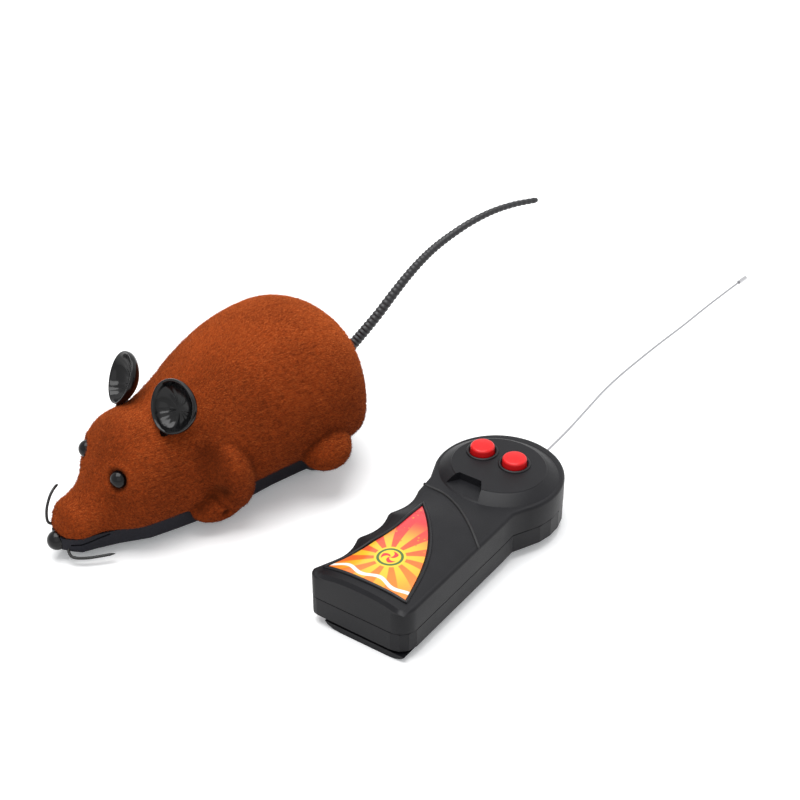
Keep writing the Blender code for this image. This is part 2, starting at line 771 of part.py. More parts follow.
def gear(teeth, near, far, centre, phase):
    """A spur gear that turns about Y, with a tooth pointing at the angle called phase."""
    pitch = GEAR_MODULE * teeth / 2
    tip = pitch + ADDENDUM_SHARE * GEAR_MODULE
    root = pitch - DEDENDUM_SHARE * GEAR_MODULE
    half = (math.pi * GEAR_MODULE / 2 - GEAR_BACKLASH) / 2
    tip_half = half - ADDENDUM_SHARE * GEAR_MODULE * math.tan(PRESSURE_ANGLE)
    corners = (
        (root, -half / pitch),
        (tip, -tip_half / tip),
        (tip, tip_half / tip),
        (root, half / pitch),
    )
    points = []
    for tooth in range(teeth):
        middle = phase + 2 * math.pi * tooth / teeth
        for radius, angle in corners:
            x = centre[0] + radius * math.cos(middle + angle)
            points.append((x, centre[1] + radius * math.sin(middle + angle)))
    return plate_across(points, near, far)


def body_sizes(along):
    """Half width, top and underside of the body at a place along it."""
    rows = BODY_SECTION_SHARES
    share = min(max(along / BODY_LENGTH, rows[0][0]), rows[-1][0])
    after = next(i for i, row in enumerate(rows) if i > 0 and share <= row[0])
    low, high = rows[after - 1], rows[after]
    part = (share - low[0]) / (high[0] - low[0])
    width, top, under = (a + (b - a) * part for a, b in zip(low[1:], high[1:]))
    return width * BODY_WIDTH / 2, top * BODY_HEIGHT, under * BODY_HEIGHT


def waist_height(top, under):
    return under + (top - under) * BODY_WAIST_SHARE


def signed_power(value, power):
    return math.copysign(abs(value) ** power, value)


def body_ring(along, inset=0.0):
    """A section of the body, drawn in by inset."""
    half, top, under = body_sizes(along)
    half, top, under = half - inset, top - inset, under + inset / 2
    waist = waist_height(top, under)
    ring = []
    for k in range(BODY_SIDES):
        angle = 2 * math.pi * k / BODY_SIDES
        across = half * signed_power(math.cos(angle), 2 / BODY_ROUNDNESS)
        rise = signed_power(math.sin(angle), 2 / BODY_ROUNDNESS)
        reach = top - waist if rise > 0 else waist - under
        ring.append((along, across, waist + reach * rise))
    return ring


def body_half_width(along, height):
    """Half the body's width at a height."""
    half, top, under = body_sizes(along)
    waist = waist_height(top, under)
    reach = top - waist if height > waist else waist - under
    rise = min(abs(height - waist) / reach, 1.0)
    return half * (1 - rise**BODY_ROUNDNESS) ** (1 / BODY_ROUNDNESS)


def body_surface(along, across):
    """Height of the body's back over a place."""
    half, top, under = body_sizes(along)
    waist = waist_height(top, under)
    share = min(abs(across) / half, 1.0)
    return waist + (top - waist) * (1 - share**BODY_ROUNDNESS) ** (1 / BODY_ROUNDNESS)


def edge_height(along):
    """Height of the seam between the flocked shell and the chassis."""
    return EDGE_FRONT + (EDGE_REAR - EDGE_FRONT) * along / BODY_LENGTH


def below_seam():
    """Everything under the seam."""
    side = BODY_WIDTH
    ends = []
    for along in (-CUT_OVERRUN, BODY_LENGTH + CUT_OVERRUN):
        low, high = -CUT_OVERRUN, edge_height(along)
        ends.append([(along, -side, low), (along, side, low), (along, side, high), (along, -side, high)])
    return skin(ends)


def chassis_half_width(along):
    return body_half_width(along, edge_height(along)) - CHASSIS_INSET


def chassis_block(rows, grow, top_gap):
    """The chassis as one solid, grown all round and stopping top_gap under the seam."""
    rings = []
    for number, (share, rise) in enumerate(rows):
        along = share * BODY_LENGTH
        half = chassis_half_width(along) + grow
        top = edge_height(along) - top_gap
        low = BELLY_CLEARANCE + rise * JAW_LIFT - grow
        if number == 0:
            along -= grow
        if number == len(rows) - 1:
            along += grow
        ring = []
        for k in range(CHASSIS_SIDES + 1):
            angle = math.pi * k / CHASSIS_SIDES
            across = half * signed_power(math.cos(angle), 2 / CHASSIS_BOXINESS)
            drop = abs(math.sin(angle)) ** (2 / CHASSIS_BOXINESS) if 0 < k < CHASSIS_SIDES else 0.0
            ring.append((along, across, top - (top - low) * drop))
        rings.append(ring)
    return skin(rings)


def limb(place_shares, size_shares, side, lean=0.0):
    along, out, up = place_shares
    half = BODY_WIDTH / 2
    centre = (along * BODY_LENGTH, side * out * half, up * BODY_HEIGHT)
    radii = (size_shares[0] * BODY_LENGTH, size_shares[1] * half, size_shares[2] * BODY_HEIGHT)
    return egg(centre, radii, lean)


def eye_centre(side):
    along, out, up = EYE_PLACE_SHARES
    return Vector((along * BODY_LENGTH, side * out * BODY_WIDTH / 2, up * BODY_HEIGHT))


def eye_peg(side, grow):
    centre = eye_centre(side)
    inward = Vector((EYE_LOOK[0], EYE_LOOK[1] * side, EYE_LOOK[2])).normalized()
    return rod(EYE_PEG_RADIUS + grow, centre, centre + inward * (EYE_RADIUS + EYE_PEG_LENGTH + grow))


def ear_axes(side):
    """The ear's foot, and its ways across, up and out of the cup."""
    along, out, up = EAR_LEFT_SHARES if side < 0 else EAR_RIGHT_SHARES
    foot = Vector((along * BODY_LENGTH, side * out * BODY_WIDTH / 2, up * BODY_HEIGHT))
    front = Vector((EAR_FACING[0], EAR_FACING[1] * side, EAR_FACING[2])).normalized()
    lean = Vector((0.0, EAR_SPREAD * side, 1.0))
    rise = (lean - front * lean.dot(front)).normalized()
    return foot, rise.cross(front), rise, front


def ear_peg(side, grow):
    foot, _, rise, front = ear_axes(side)
    down = -(rise * EAR_PEG_SLANT[0] + front * EAR_PEG_SLANT[1]).normalized()
    start = foot + rise * EAR_PEG_RADIUS - front * (EAR_CUP_DEPTH / 4)
    return rod(EAR_PEG_RADIUS + grow, start, start + down * (EAR_PEG_LENGTH + EAR_PEG_RADIUS + grow))


def tail_points():
    """The middle line of the tail, from its root on the shell."""
    route = []
    for back, up in TAIL_CURVE_SHARES:
        route.append((TAIL_ROOT_BACK + back * TAIL_REACH, 0.0, TAIL_ROOT_HEIGHT + up * TAIL_RISE))
    return smooth_points(route, 2 * TAIL_RIB_COUNT)


def tail_heading():
    points = tail_points()
    return (points[1] - points[0]).normalized()


def whisker_points(shares, side):
    """The middle line of a whisker, from its root."""
    route = []
    for along, out, up in shares:
        route.append((along * BODY_LENGTH, side * out * BODY_WIDTH / 2, up * EDGE_FRONT))
    return smooth_points(route, WHISKER_POINTS)


def whisker_hole(shares, side):
    points = whisker_points(shares, side)
    way = (points[1] - points[0]).normalized()
    return rod(WHISKER_RADIUS + SHAFT_GAP, points[0] - way * SEAT_GAP, points[1] + way * CUT_OVERRUN)


def screw_foot(back):
    """Where a shell screw's head starts, in the chassis floor."""
    return Vector((back, 0.0, BELLY_CLEARANCE + SEAT_GAP))


def make_body_shell():
    stations = [row[0] * BODY_LENGTH for row in BODY_SECTION_SHARES]
    shell = solid("body_shell", skin([body_ring(along) for along in stations]), FLOCK, MOUSE)
    cut(shell, below_seam())
    for side in (-1, 1):
        join(shell, limb(ARM_PLACE_SHARES, ARM_SIZE_SHARES, side, ARM_LEAN))
        join(shell, limb(PAW_PLACE_SHARES, PAW_SIZE_SHARES, side))
        join(shell, limb(FOOT_PLACE_SHARES, FOOT_SIZE_SHARES, side))
    cut(shell, chassis_block(CHASSIS_RISE_SHARES, SEAT_GAP, SHAFT_GAP))
    inner = stations[CAVITY_FIRST_RING:-2]
    rings = [body_ring(along, SHELL_WALL) for along in inner]
    rings[-1] = body_ring(inner[-1], 2 * SHELL_WALL)
    cut(shell, skin(rings))
    front, rear = (screw_foot(back) for back in SHELL_POST_PLACES)
    roof = body_surface(front.x - SHELL_POST_RADIUS, SHELL_POST_RADIUS) - SHELL_WALL / 2
    for foot, top in ((front, roof), (rear, REAR_POST_TOP)):
        low = foot + UP * (PAD_HEIGHT + SEAT_GAP)
        join(shell, rod(SHELL_POST_RADIUS, low, (foot.x, 0.0, top)))
    rib = REAR_RIB_WIDTH / 2
    low = edge_height(BODY_LENGTH) + CHASSIS_WALL
    join(shell, box((rear.x, -rib, low), (inner[-1] + SHELL_WALL, rib, REAR_POST_TOP - JOIN_DEPTH)))
    for foot in (front, rear):
        end = foot + UP * (SCREW_LENGTH + SEAT_GAP)
        cut(shell, rod(SCREW_RADIUS + SHAFT_GAP, foot, end))
    for side in (-1, 1):
        cut(shell, egg(eye_centre(side), [EYE_RADIUS + SHAFT_GAP] * 3), eye_peg(side, SHAFT_GAP))
        cut(shell, ear_peg(side, SHAFT_GAP))
    root, way = tail_points()[0], tail_heading()
    reach = way * (TAIL_PLUG_LENGTH + CUT_OVERRUN)
    cut(shell, rod(TAIL_ROOT_RADIUS + SEAT_GAP, root - reach, root + reach))
    seat = root - way * (TAIL_PLUG_LENGTH - TAIL_CLIP_THICKNESS - SEAT_GAP)
    cut(shell, rod(TAIL_CLIP_RADIUS + SEAT_GAP, root - reach, seat))
    cut(shell, whisker_hole(WHISKER_RIGHT_SHARES, 1), nose_ball(SHAFT_GAP))
    for near, far in wheel_slots():
        cut(shell, hole_across(WHEEL_RADIUS + WHEEL_ROOM, (AXLE_BACK, AXLE_HEIGHT), near, far))


def nose_ball(grow):
    return egg((NOSE_CENTRE_BACK, 0.0, NOSE_HEIGHT), [NOSE_RADIUS + grow] * 3)


def nose_peg(grow):
    start = Vector((NOSE_CENTRE_BACK, 0.0, NOSE_HEIGHT - NOSE_PEG_RADIUS))
    end = start + Vector((NOSE_PEG_LENGTH + grow, 0.0, 0.0))
    return rod(NOSE_PEG_RADIUS + grow, start, end)


def make_ear(name, side):
    foot, across, rise, front = ear_axes(side)
    rings = []
    for size, cup, wall in EAR_RING_SHARES:
        depth = cup * EAR_CUP_DEPTH + wall * EAR_WALL
        ring = []
        for k in range(EAR_SIDES):
            angle = 2 * math.pi * k / EAR_SIDES
            wide = math.cos(angle) * (1 + EAR_EGG_SHARE * math.sin(angle))
            high = 1 + size * math.sin(angle) - (1 - size) * EAR_DEEP_SHARE
            spot = across * (size * EAR_WIDTH / 2 * wide) + rise * (EAR_HEIGHT / 2 * high)
            ring.append(foot + spot - front * depth)
        rings.append(ring)
    ear = solid(name, skin(rings), GLOSS, MOUSE, foot)
    join(ear, ear_peg(side, 0.0))


def make_face():
    centre = Vector((NOSE_CENTRE_BACK, 0.0, NOSE_HEIGHT))
    nose = solid("nose_tip", nose_ball(0.0), GLOSS, MOUSE, centre)
    join(nose, nose_peg(0.0))
    for side, word in ((-1, "left"), (1, "right")):
        centre = eye_centre(side)
        eye = solid("eye_" + word, egg(centre, [EYE_RADIUS] * 3), GLOSS, MOUSE, centre)
        join(eye, eye_peg(side, 0.0))
        make_ear("ear_" + word, side)
    for word, shares, side in (("left", WHISKER_LEFT_SHARES, -1), ("right", WHISKER_RIGHT_SHARES, 1)):
        points = whisker_points(shares, side)
        tube("whisker_" + word, points, [WHISKER_RADIUS] * len(points), BLACK, MOUSE, 1)


def make_tail():
    points = tail_points()
    count = len(points)
    radii = []
    for k in range(count):
        radius = TAIL_ROOT_RADIUS + (TAIL_TIP_RADIUS - TAIL_ROOT_RADIUS) * k / (count - 1)
        radii.append(radius if k % 2 == 0 else radius * (1 - TAIL_RIB_DEPTH_SHARE))
    way = tail_heading()
    low = points[0] - way * TAIL_PLUG_LENGTH
    plug_radius = radii[1]
    last, tip_way = points[-1], (points[-1] - points[-2]).normalized()
    tip = [last + tip_way * (TAIL_TIP_RADIUS * share) for share in (1 - TAIL_TIP_SHARES[0] / 2, 1)]
    tip_radii = [radii[-1] * share for share in TAIL_TIP_SHARES]
    route = [low, points[0] - way * TAIL_ROOT_RADIUS] + points + tip
    tube("tail", route, [plug_radius] * 2 + radii + tip_radii, RUBBER, MOUSE, 2)
    bore = plug_radius + SHAFT_GAP
    profile = [
        (bore, 0.0),
        (TAIL_CLIP_RADIUS, 0.0),
        (TAIL_CLIP_RADIUS, TAIL_CLIP_THICKNESS),
        (bore, TAIL_CLIP_THICKNESS),
    ]
    solid("tail_clip", turned(profile, low, way, SMALL_SIDES), WHITE, MOUSE, low)


def mouth_cut(side):
    """A groove along one side of the jaw."""
    rings = []
    for share, up in MOUTH_SHARES:
        along = share * BODY_LENGTH
        half = chassis_half_width(along)
        inner, outer = side * (half - MOUTH_DEPTH), side * (half + CUT_OVERRUN)
        low, high = up * EDGE_FRONT - MOUTH_SLIT / 2, up * EDGE_FRONT + MOUTH_SLIT / 2
        rings.append([(along, inner, low), (along, outer, low), (along, outer, high), (along, inner, high)])
    return skin(rings)


def make_chassis():
    chassis = solid("chassis", chassis_block(CHASSIS_RISE_SHARES, 0.0, SEAT_GAP), BLACK, MOUSE)
    cut(chassis, chassis_block(CHASSIS_RISE_SHARES[CHASSIS_SOLID_RINGS:], -CHASSIS_WALL, -CUT_OVERRUN))
    cut(chassis, mouth_cut(-1), mouth_cut(1), whisker_hole(WHISKER_LEFT_SHARES, -1))
    cut(chassis, nose_ball(SHAFT_GAP), nose_peg(SHAFT_GAP))
    add_caster_pocket(chassis)
    add_cell_box(chassis)
    add_board_posts(chassis)
    add_drive_supports(chassis)
    add_screw_pads(chassis)
    add_floor_openings(chassis)


def add_caster_pocket(chassis):
    centre = Vector((CASTER_BACK, 0.0, 0.0))
    top = POCKET_CEILING + POCKET_WALL
    outer = POCKET_RADIUS + POCKET_WALL
    join(chassis, rod(outer, centre + UP * BELLY_CLEARANCE, centre + UP * top, ROUND_SIDES))
    cut(chassis, rod(POCKET_RADIUS, centre, centre + UP * POCKET_CEILING, ROUND_SIDES))
    cut(chassis, rod(STEM_RADIUS + SHAFT_GAP, centre, centre + UP * (top + CUT_OVERRUN)))


def add_cell_box(chassis):
    half, wall = CELL_BOX_HALF, CELL_BOX_WALL
    side = half + wall
    roof = CELL_AXIS_HEIGHT + CELL_RADIUS + CELL_ROOM
    ledge = DOOR_TOP + SEAT_GAP
    low = (CELLS_FRONT - wall, -side, BELLY_CLEARANCE)
    join(chassis, box(low, (CELL_BOX_BACK + wall, side, roof + wall / 2)))
    low = (CELL_BOX_BACK, -side, BELLY_CLEARANCE)
    join(chassis, box(low, (DOOR_RECESS_BACK + wall / 2, side, ledge + CHASSIS_WALL / 2)))
    spot = Vector((DOOR_SCREW_BACK, 0.0, 0.0))
    boss_top = BELLY_CLEARANCE + DOOR_BOSS_HEIGHT
    join(chassis, rod(DOOR_BOSS_RADIUS, spot + UP * DOOR_TOP, spot + UP * boss_top))
    cut(chassis, box((CELLS_FRONT, -half, 0.0), (CELL_BOX_BACK, half, roof)))
    recess = half + DOOR_LEDGE
    cut(chassis, box((DOOR_RECESS_FRONT, -recess, 0.0), (DOOR_RECESS_BACK, recess, ledge)))
    cut(chassis, rod(SCREW_RADIUS + DOOR_SCREW_ROOM, spot, spot + UP * (boss_top + CUT_OVERRUN)))
    pin = Vector((0.0, recess + DOOR_PIN_LENGTH + SHAFT_GAP, 0.0))
    axis = Vector((DOOR_AXIS_BACK, 0.0, DOOR_AXIS_HEIGHT))
    cut(chassis, rod(DOOR_PIN_RADIUS + SHAFT_GAP, axis - pin, axis + pin))


def add_board_posts(chassis):
    """Posts for the receiver board, and ledges under the power switch."""
    low = FLOOR_TOP - JOIN_DEPTH
    near, far = BOARD_FRONT + POST_INSET, BOARD_FRONT + BOARD_LENGTH - POST_INSET
    for along in (near, far):
        for side in (-1, 1):
            across = side * (BOARD_HALF_WIDTH - POST_INSET)
            join(chassis, rod(POST_RADIUS, (along, across, low), (along, across, BOARD_HEIGHT - SEAT_GAP)))
    long, wide, _ = SWITCH_BODY
    rail = KNOB_FLANGE_HEIGHT + SEAT_GAP + JOIN_DEPTH
    for side in (-1, 1):
        across = side * (wide / 2 - KNOB_FLANGE)
        join(chassis, block((SWITCH_BACK, across), (long, 2 * KNOB_FLANGE, rail), low))


def add_drive_supports(chassis):
    """The left axle bracket, and the bridge that carries the motor."""
    low = FLOOR_TOP - JOIN_DEPTH
    outer, inner = -BRACKET_OUTER_Y, -BRACKET_OUTER_Y + BRACKET_THICKNESS
    wide = BRACKET_HALF_WIDTH
    join(chassis, box((AXLE_BACK - wide, outer, low), (AXLE_BACK + wide, inner, BRACKET_TOP)))
    cut(chassis, hole_across(BUSH_RADIUS + SHAFT_GAP, (AXLE_BACK, AXLE_HEIGHT), outer, inner))
    top = MOTOR_HEIGHT - MOTOR_FLAT - SEAT_GAP
    near, far = CRADLE_SIDE - CRADLE_WIDTH / 2, CRADLE_SIDE + CRADLE_WIDTH / 2
    front, back = MOTOR_BACK - CRADLE_HALF_LENGTH, MOTOR_BACK + CRADLE_HALF_LENGTH
    join(chassis, box((front, near, low), (front + CRADLE_LEG, far, top)))
    join(chassis, box((back - CRADLE_LEG, near, low), (back, far, top)))
    join(chassis, box((front, near, top - CRADLE_BRIDGE), (back, far, top)))


def add_screw_pads(chassis):
    for back in SHELL_POST_PLACES:
        foot = screw_foot(back)
        top = foot + UP * PAD_HEIGHT
        below = Vector((foot.x, foot.y, 0.0))
        join(chassis, rod(PAD_RADIUS, foot, top))
        cut(chassis, rod(SCREW_HEAD_RADIUS + SHAFT_GAP, below, foot + UP * (SCREW_HEAD_HEIGHT + SHAFT_GAP)))
        cut(chassis, rod(SCREW_RADIUS + SHAFT_GAP, below, top + UP * CUT_OVERRUN))


def wheel_slots():
    """The space for each wheel across the mouse, left then right."""
    inner = WHEEL_OUTER_FACE - WHEEL_WIDTH - WHEEL_ROOM / 2
    outer = WHEEL_OUTER_FACE + WHEEL_ROOM / 2
    return (-outer, -inner), (inner, outer)


def add_floor_openings(chassis):
    """Slots in the floor for the wheels, the axle gear and the switch's knob."""
    top = edge_height(BODY_LENGTH) + CUT_OVERRUN
    reach = WHEEL_RADIUS + WHEEL_ROOM
    for near, far in wheel_slots():
        cut(chassis, box((AXLE_BACK - reach, near, 0.0), (AXLE_BACK + reach, far, top)))
    window = SPUR_RADIUS + GEAR_MODULE + SEAT_GAP
    low = (AXLE_BACK - window, SMALL_GEAR_Y - GEAR_SIDE_GAP, 0.0)
    cut(chassis, box(low, (AXLE_BACK + window, COVER_Y, top)))
    long, wide = KNOB_SIZE[0] / 2 + SEAT_GAP, (KNOB_SIZE[1] + SWITCH_TRAVEL) / 2 + SEAT_GAP
    cut(chassis, box((SWITCH_BACK - long, -wide, 0.0), (SWITCH_BACK + long, wide, FLOOR_TOP + SHAFT_GAP)))


def make_rear_axle():
    axis = Vector((AXLE_BACK, 0.0, AXLE_HEIGHT))
    end = Vector((0.0, WHEEL_OUTER_FACE, 0.0))
    solid("rear_axle", rod(AXLE_RADIUS, axis - end, axis + end), STEEL, MOUSE, axis)
    bore = AXLE_RADIUS + SHAFT_GAP
    rim = WHEEL_RADIUS - TYRE_THICKNESS
    rim_inner = rim - RIM_WALL
    web = WHEEL_WIDTH - HUB_WEB
    hub = [
        (bore, 0.0),
        (HUB_BOSS_RADIUS, 0.0),
        (HUB_BOSS_RADIUS, web),
        (rim_inner, web),
        (rim_inner, 0.0),
        (rim, 0.0),
        (rim, WHEEL_WIDTH),
        (bore, WHEEL_WIDTH),
    ]
    inner = rim + SHAFT_GAP
    tyre = [
        (inner, 0.0),
        (WHEEL_RADIUS - TYRE_ROUNDING, 0.0),
        (WHEEL_RADIUS, TYRE_ROUNDING),
        (WHEEL_RADIUS, WHEEL_WIDTH - TYRE_ROUNDING),
        (WHEEL_RADIUS - TYRE_ROUNDING, WHEEL_WIDTH),
        (inner, WHEEL_WIDTH),
    ]
    for side, word in ((-1, "left"), (1, "right")):
        way = Vector((0.0, side, 0.0))
        foot = axis + way * (WHEEL_OUTER_FACE - WHEEL_WIDTH)
        solid("wheel_" + word, turned(hub, foot, way, TYRE_SIDES), WHITE, MOUSE, axis)
        solid("tyre_" + word, turned(tyre, foot, way, TYRE_SIDES), RUBBER, MOUSE, axis)


def hole_across(radius, centre, near, far):
    """A drill along Y through a plate."""
    over = CUT_OVERRUN / 4
    return rod(radius, (centre[0], near - over, centre[1]), (centre[0], far + over, centre[1]))


def axle_bush(name, foot, way, seat):
    bore = AXLE_RADIUS + SHAFT_GAP
    length = BUSH_FLANGE + seat + SEAT_GAP
    profile = [
        (bore, 0.0),
        (BUSH_FLANGE_RADIUS, 0.0),
        (BUSH_FLANGE_RADIUS, BUSH_FLANGE),
        (BUSH_RADIUS, BUSH_FLANGE),
        (BUSH_RADIUS, length),
        (bore, length),
    ]
    solid(name, turned(profile, foot, way, SMALL_SIDES), BRASS, MOUSE, foot)


def gearbox_edges():
    """Front, rear, lower and upper edges of the gearbox plates."""
    low = FLOOR_TOP + SEAT_GAP
    return AXLE_BACK - GEARBOX_FRONT_REACH, AXLE_BACK + GEARBOX_REAR_REACH, low, GEARBOX_TOP


def gearbox_post_places():
    front, back, low, high = gearbox_edges()
    inset = GEARBOX_POST_INSET
    return (
        (front + inset, high - inset),
        (back - inset, high - inset),
        (front + inset, low + inset),
        (back - inset, (low + high) / 2),
    )


def make_gearbox():
    axle, idler, motor = (AXLE_BACK, AXLE_HEIGHT), (IDLER_BACK, IDLER_HEIGHT), (MOTOR_BACK, MOTOR_HEIGHT)
    front, back, low, high = gearbox_edges()
    near, far = GEARBOX_INNER_Y, GEARBOX_INNER_Y + GEARBOX_PLATE
    frame = solid("gearbox_frame", box((front, near, low), (back, far, high)), WHITE, MOUSE)
    for x, z in gearbox_post_places():
        join(frame, rod(GEARBOX_POST_RADIUS, (x, far - JOIN_DEPTH, z), (x, COVER_Y - SEAT_GAP, z), 8))
    cut(frame, hole_across(AXLE_RADIUS + SEAT_GAP, axle, near, far))
    cut(frame, hole_across(GEAR_PIN_RADIUS + SHAFT_GAP, idler, near, far))
    cut(frame, hole_across(MOTOR_BOSS_RADIUS + SHAFT_GAP, motor, near, far))
    outer = COVER_Y + GEARBOX_PLATE
    cover = solid("gearbox_cover", box((front, COVER_Y, low), (back, outer, high)), WHITE, MOUSE)
    cut(cover, hole_across(BUSH_RADIUS + SHAFT_GAP, axle, COVER_Y, outer))
    cut(cover, hole_across(GEAR_PIN_RADIUS + SHAFT_GAP, idler, COVER_Y, outer))
    start, end = Vector((idler[0], near, idler[1])), Vector((idler[0], outer, idler[1]))
    solid("idler_pin", rod(GEAR_PIN_RADIUS, start, end), STEEL, MOUSE, start)
    step = BUSH_FLANGE + SEAT_GAP / 2
    right = Vector((axle[0], outer + step, axle[1]))
    axle_bush("axle_bush_right", right, (0.0, -1.0, 0.0), GEARBOX_PLATE)
    left = Vector((axle[0], -BRACKET_OUTER_Y - step, axle[1]))
    axle_bush("axle_bush_left", left, (0.0, 1.0, 0.0), BRACKET_THICKNESS)


def make_gears():
    axle, idler, motor = (AXLE_BACK, AXLE_HEIGHT), (IDLER_BACK, IDLER_HEIGHT), (MOTOR_BACK, MOTOR_HEIGHT)
    near, far = BIG_GEAR_Y, BIG_GEAR_Y + BIG_GEAR_FACE
    small_near, small_far = SMALL_GEAR_Y, SMALL_GEAR_Y + SMALL_GEAR_FACE
    half_pitch = math.pi / PINION_TEETH
    teeth = gear(SPUR_TEETH, small_near, small_far, axle, AXLE_TRAIN_ANGLE)
    wheel = solid("axle_gear", teeth, WHITE, MOUSE, (axle[0], small_near, axle[1]))
    cut(wheel, hole_across(AXLE_RADIUS + SHAFT_GAP, axle, small_near, small_far))
    teeth = gear(SPUR_TEETH, near, far, idler, MOTOR_TRAIN_ANGLE)
    wheel = solid("idler_gear", teeth, WHITE, MOUSE, (idler[0], near, idler[1]))
    phase = AXLE_TRAIN_ANGLE + math.pi + half_pitch
    join(wheel, gear(PINION_TEETH, far - JOIN_DEPTH, small_far, idler, phase))
    cut(wheel, hole_across(GEAR_PIN_RADIUS + SHAFT_GAP, idler, near, small_far))
    phase = MOTOR_TRAIN_ANGLE + math.pi + half_pitch
    teeth = gear(PINION_TEETH, near, far, motor, phase)
    wheel = solid("motor_pinion", teeth, BRASS, MOUSE, (motor[0], near, motor[1]))
    cut(wheel, hole_across(MOTOR_SHAFT_RADIUS + SHAFT_GAP, motor, near, far))


def motor_outline():
    """The can's section: a circle with two flats."""
    points = []
    for k in range(MOTOR_SIDES):
        angle = 2 * math.pi * (k + 1 / 2) / MOTOR_SIDES
        height = max(-MOTOR_FLAT, min(MOTOR_FLAT, MOTOR_RADIUS * math.sin(angle)))
        points.append((MOTOR_BACK + MOTOR_RADIUS * math.cos(angle), MOTOR_HEIGHT + height))
    return points


def make_motor():
    front = GEARBOX_INNER_Y - SEAT_GAP
    back = front - MOTOR_LENGTH
    axis = Vector((MOTOR_BACK, 0.0, MOTOR_HEIGHT))
    across = Vector((0.0, 1.0, 0.0))
    can = solid("motor_can", plate_across(motor_outline(), back, front), STEEL, MOUSE, axis + across * front)
    boss_end = front + MOTOR_BOSS_HEIGHT + SEAT_GAP
    join(can, rod(MOTOR_BOSS_RADIUS, axis + across * (front - JOIN_DEPTH), axis + across * boss_end))
    buried = front - MOTOR_SHAFT_BURIED
    bore_start, bore_end = axis + across * (buried - SEAT_GAP), axis + across * (boss_end + CUT_OVERRUN)
    cut(can, rod(MOTOR_SHAFT_RADIUS + SHAFT_GAP, bore_start, bore_end))
    shaft_start, shaft_end = axis + across * buried, axis + across * (BIG_GEAR_Y + BIG_GEAR_FACE)
    solid("motor_shaft", rod(MOTOR_SHAFT_RADIUS, shaft_start, shaft_end), STEEL, MOUSE, shaft_start)
    cap_near = back - SEAT_GAP
    cap_far = cap_near - MOTOR_CAP_LENGTH
    cap = plate_across(motor_outline(), cap_far, cap_near)
    solid("motor_end_cap", cap, WHITE, MOUSE, axis + across * cap_near)
    side = -BOARD_HALF_WIDTH / 2
    foot = BOARD_HEIGHT + BOARD_THICKNESS + SEAT_GAP
    start = Vector((BOARD_FRONT + BOARD_LENGTH - POST_INSET, side, foot))
    lift = Vector((0.0, 0.0, MOTOR_FLAT / 2))
    end = axis + lift + across * (cap_far - SEAT_GAP)
    beside = end - across * MOTOR_CAP_LENGTH
    middle = Vector(((start.x + end.x) / 2, (end.y + beside.y) / 2, end.z))
    points = smooth_points([start, start + lift, middle, beside, end], 2 * WHISKER_POINTS)
    tube("motor_lead", points, [LEAD_RADIUS] * len(points), RED, MOUSE, 1)


def make_caster():
    base = Vector((CASTER_BACK, 0.0, 0.0))
    axle = Vector((CASTER_WHEEL_BACK, 0.0, CASTER_WHEEL_RADIUS))
    boss = CASTER_BOSS_RADIUS
    low = (CASTER_BACK - FORK_CROWN_FRONT, -FORK_OUTER_Y, CROWN_LOW)
    crown = box(low, (CASTER_WHEEL_BACK + boss, FORK_OUTER_Y, CROWN_TOP))
    fork = solid("caster_fork", crown, BLACK, MOUSE, base + UP * CROWN_TOP)
    arm_top = CROWN_TOP - JOIN_DEPTH
    for near, far in ((-FORK_OUTER_Y, -FORK_INNER_Y), (FORK_INNER_Y, FORK_OUTER_Y)):
        low = (CASTER_WHEEL_BACK - boss, near, CASTER_WHEEL_RADIUS - boss)
        join(fork, box(low, (CASTER_WHEEL_BACK + boss, far, arm_top)))
    stem_top = POCKET_CEILING + POCKET_WALL + SEAT_GAP
    join(fork, rod(STEM_RADIUS, base + UP * arm_top, base + UP * (stem_top + STEM_HEAD / 2)))
    join(fork, rod(STEM_HEAD_RADIUS, base + UP * stem_top, base + UP * (stem_top + STEM_HEAD)))
    spot = (axle.x, axle.z)
    cut(fork, hole_across(CASTER_PIN_RADIUS + SHAFT_GAP, spot, -FORK_OUTER_Y, FORK_OUTER_Y))
    bore = CASTER_PIN_RADIUS + SHAFT_GAP
    wide = CASTER_WHEEL_WIDTH
    profile = [
        (bore, 0.0),
        (CASTER_WHEEL_RADIUS - TYRE_ROUNDING, 0.0),
        (CASTER_WHEEL_RADIUS, TYRE_ROUNDING),
        (CASTER_WHEEL_RADIUS, wide - TYRE_ROUNDING),
        (CASTER_WHEEL_RADIUS - TYRE_ROUNDING, wide),
        (bore, wide),
    ]
    half = Vector((0.0, wide / 2, 0.0))
    solid("caster_wheel", turned(profile, axle - half, (0.0, 1.0, 0.0)), BLACK, MOUSE, axle)
    end = Vector((0.0, FORK_OUTER_Y, 0.0))
    solid("caster_pin", rod(CASTER_PIN_RADIUS, axle - end, axle + end), STEEL, MOUSE, axle)


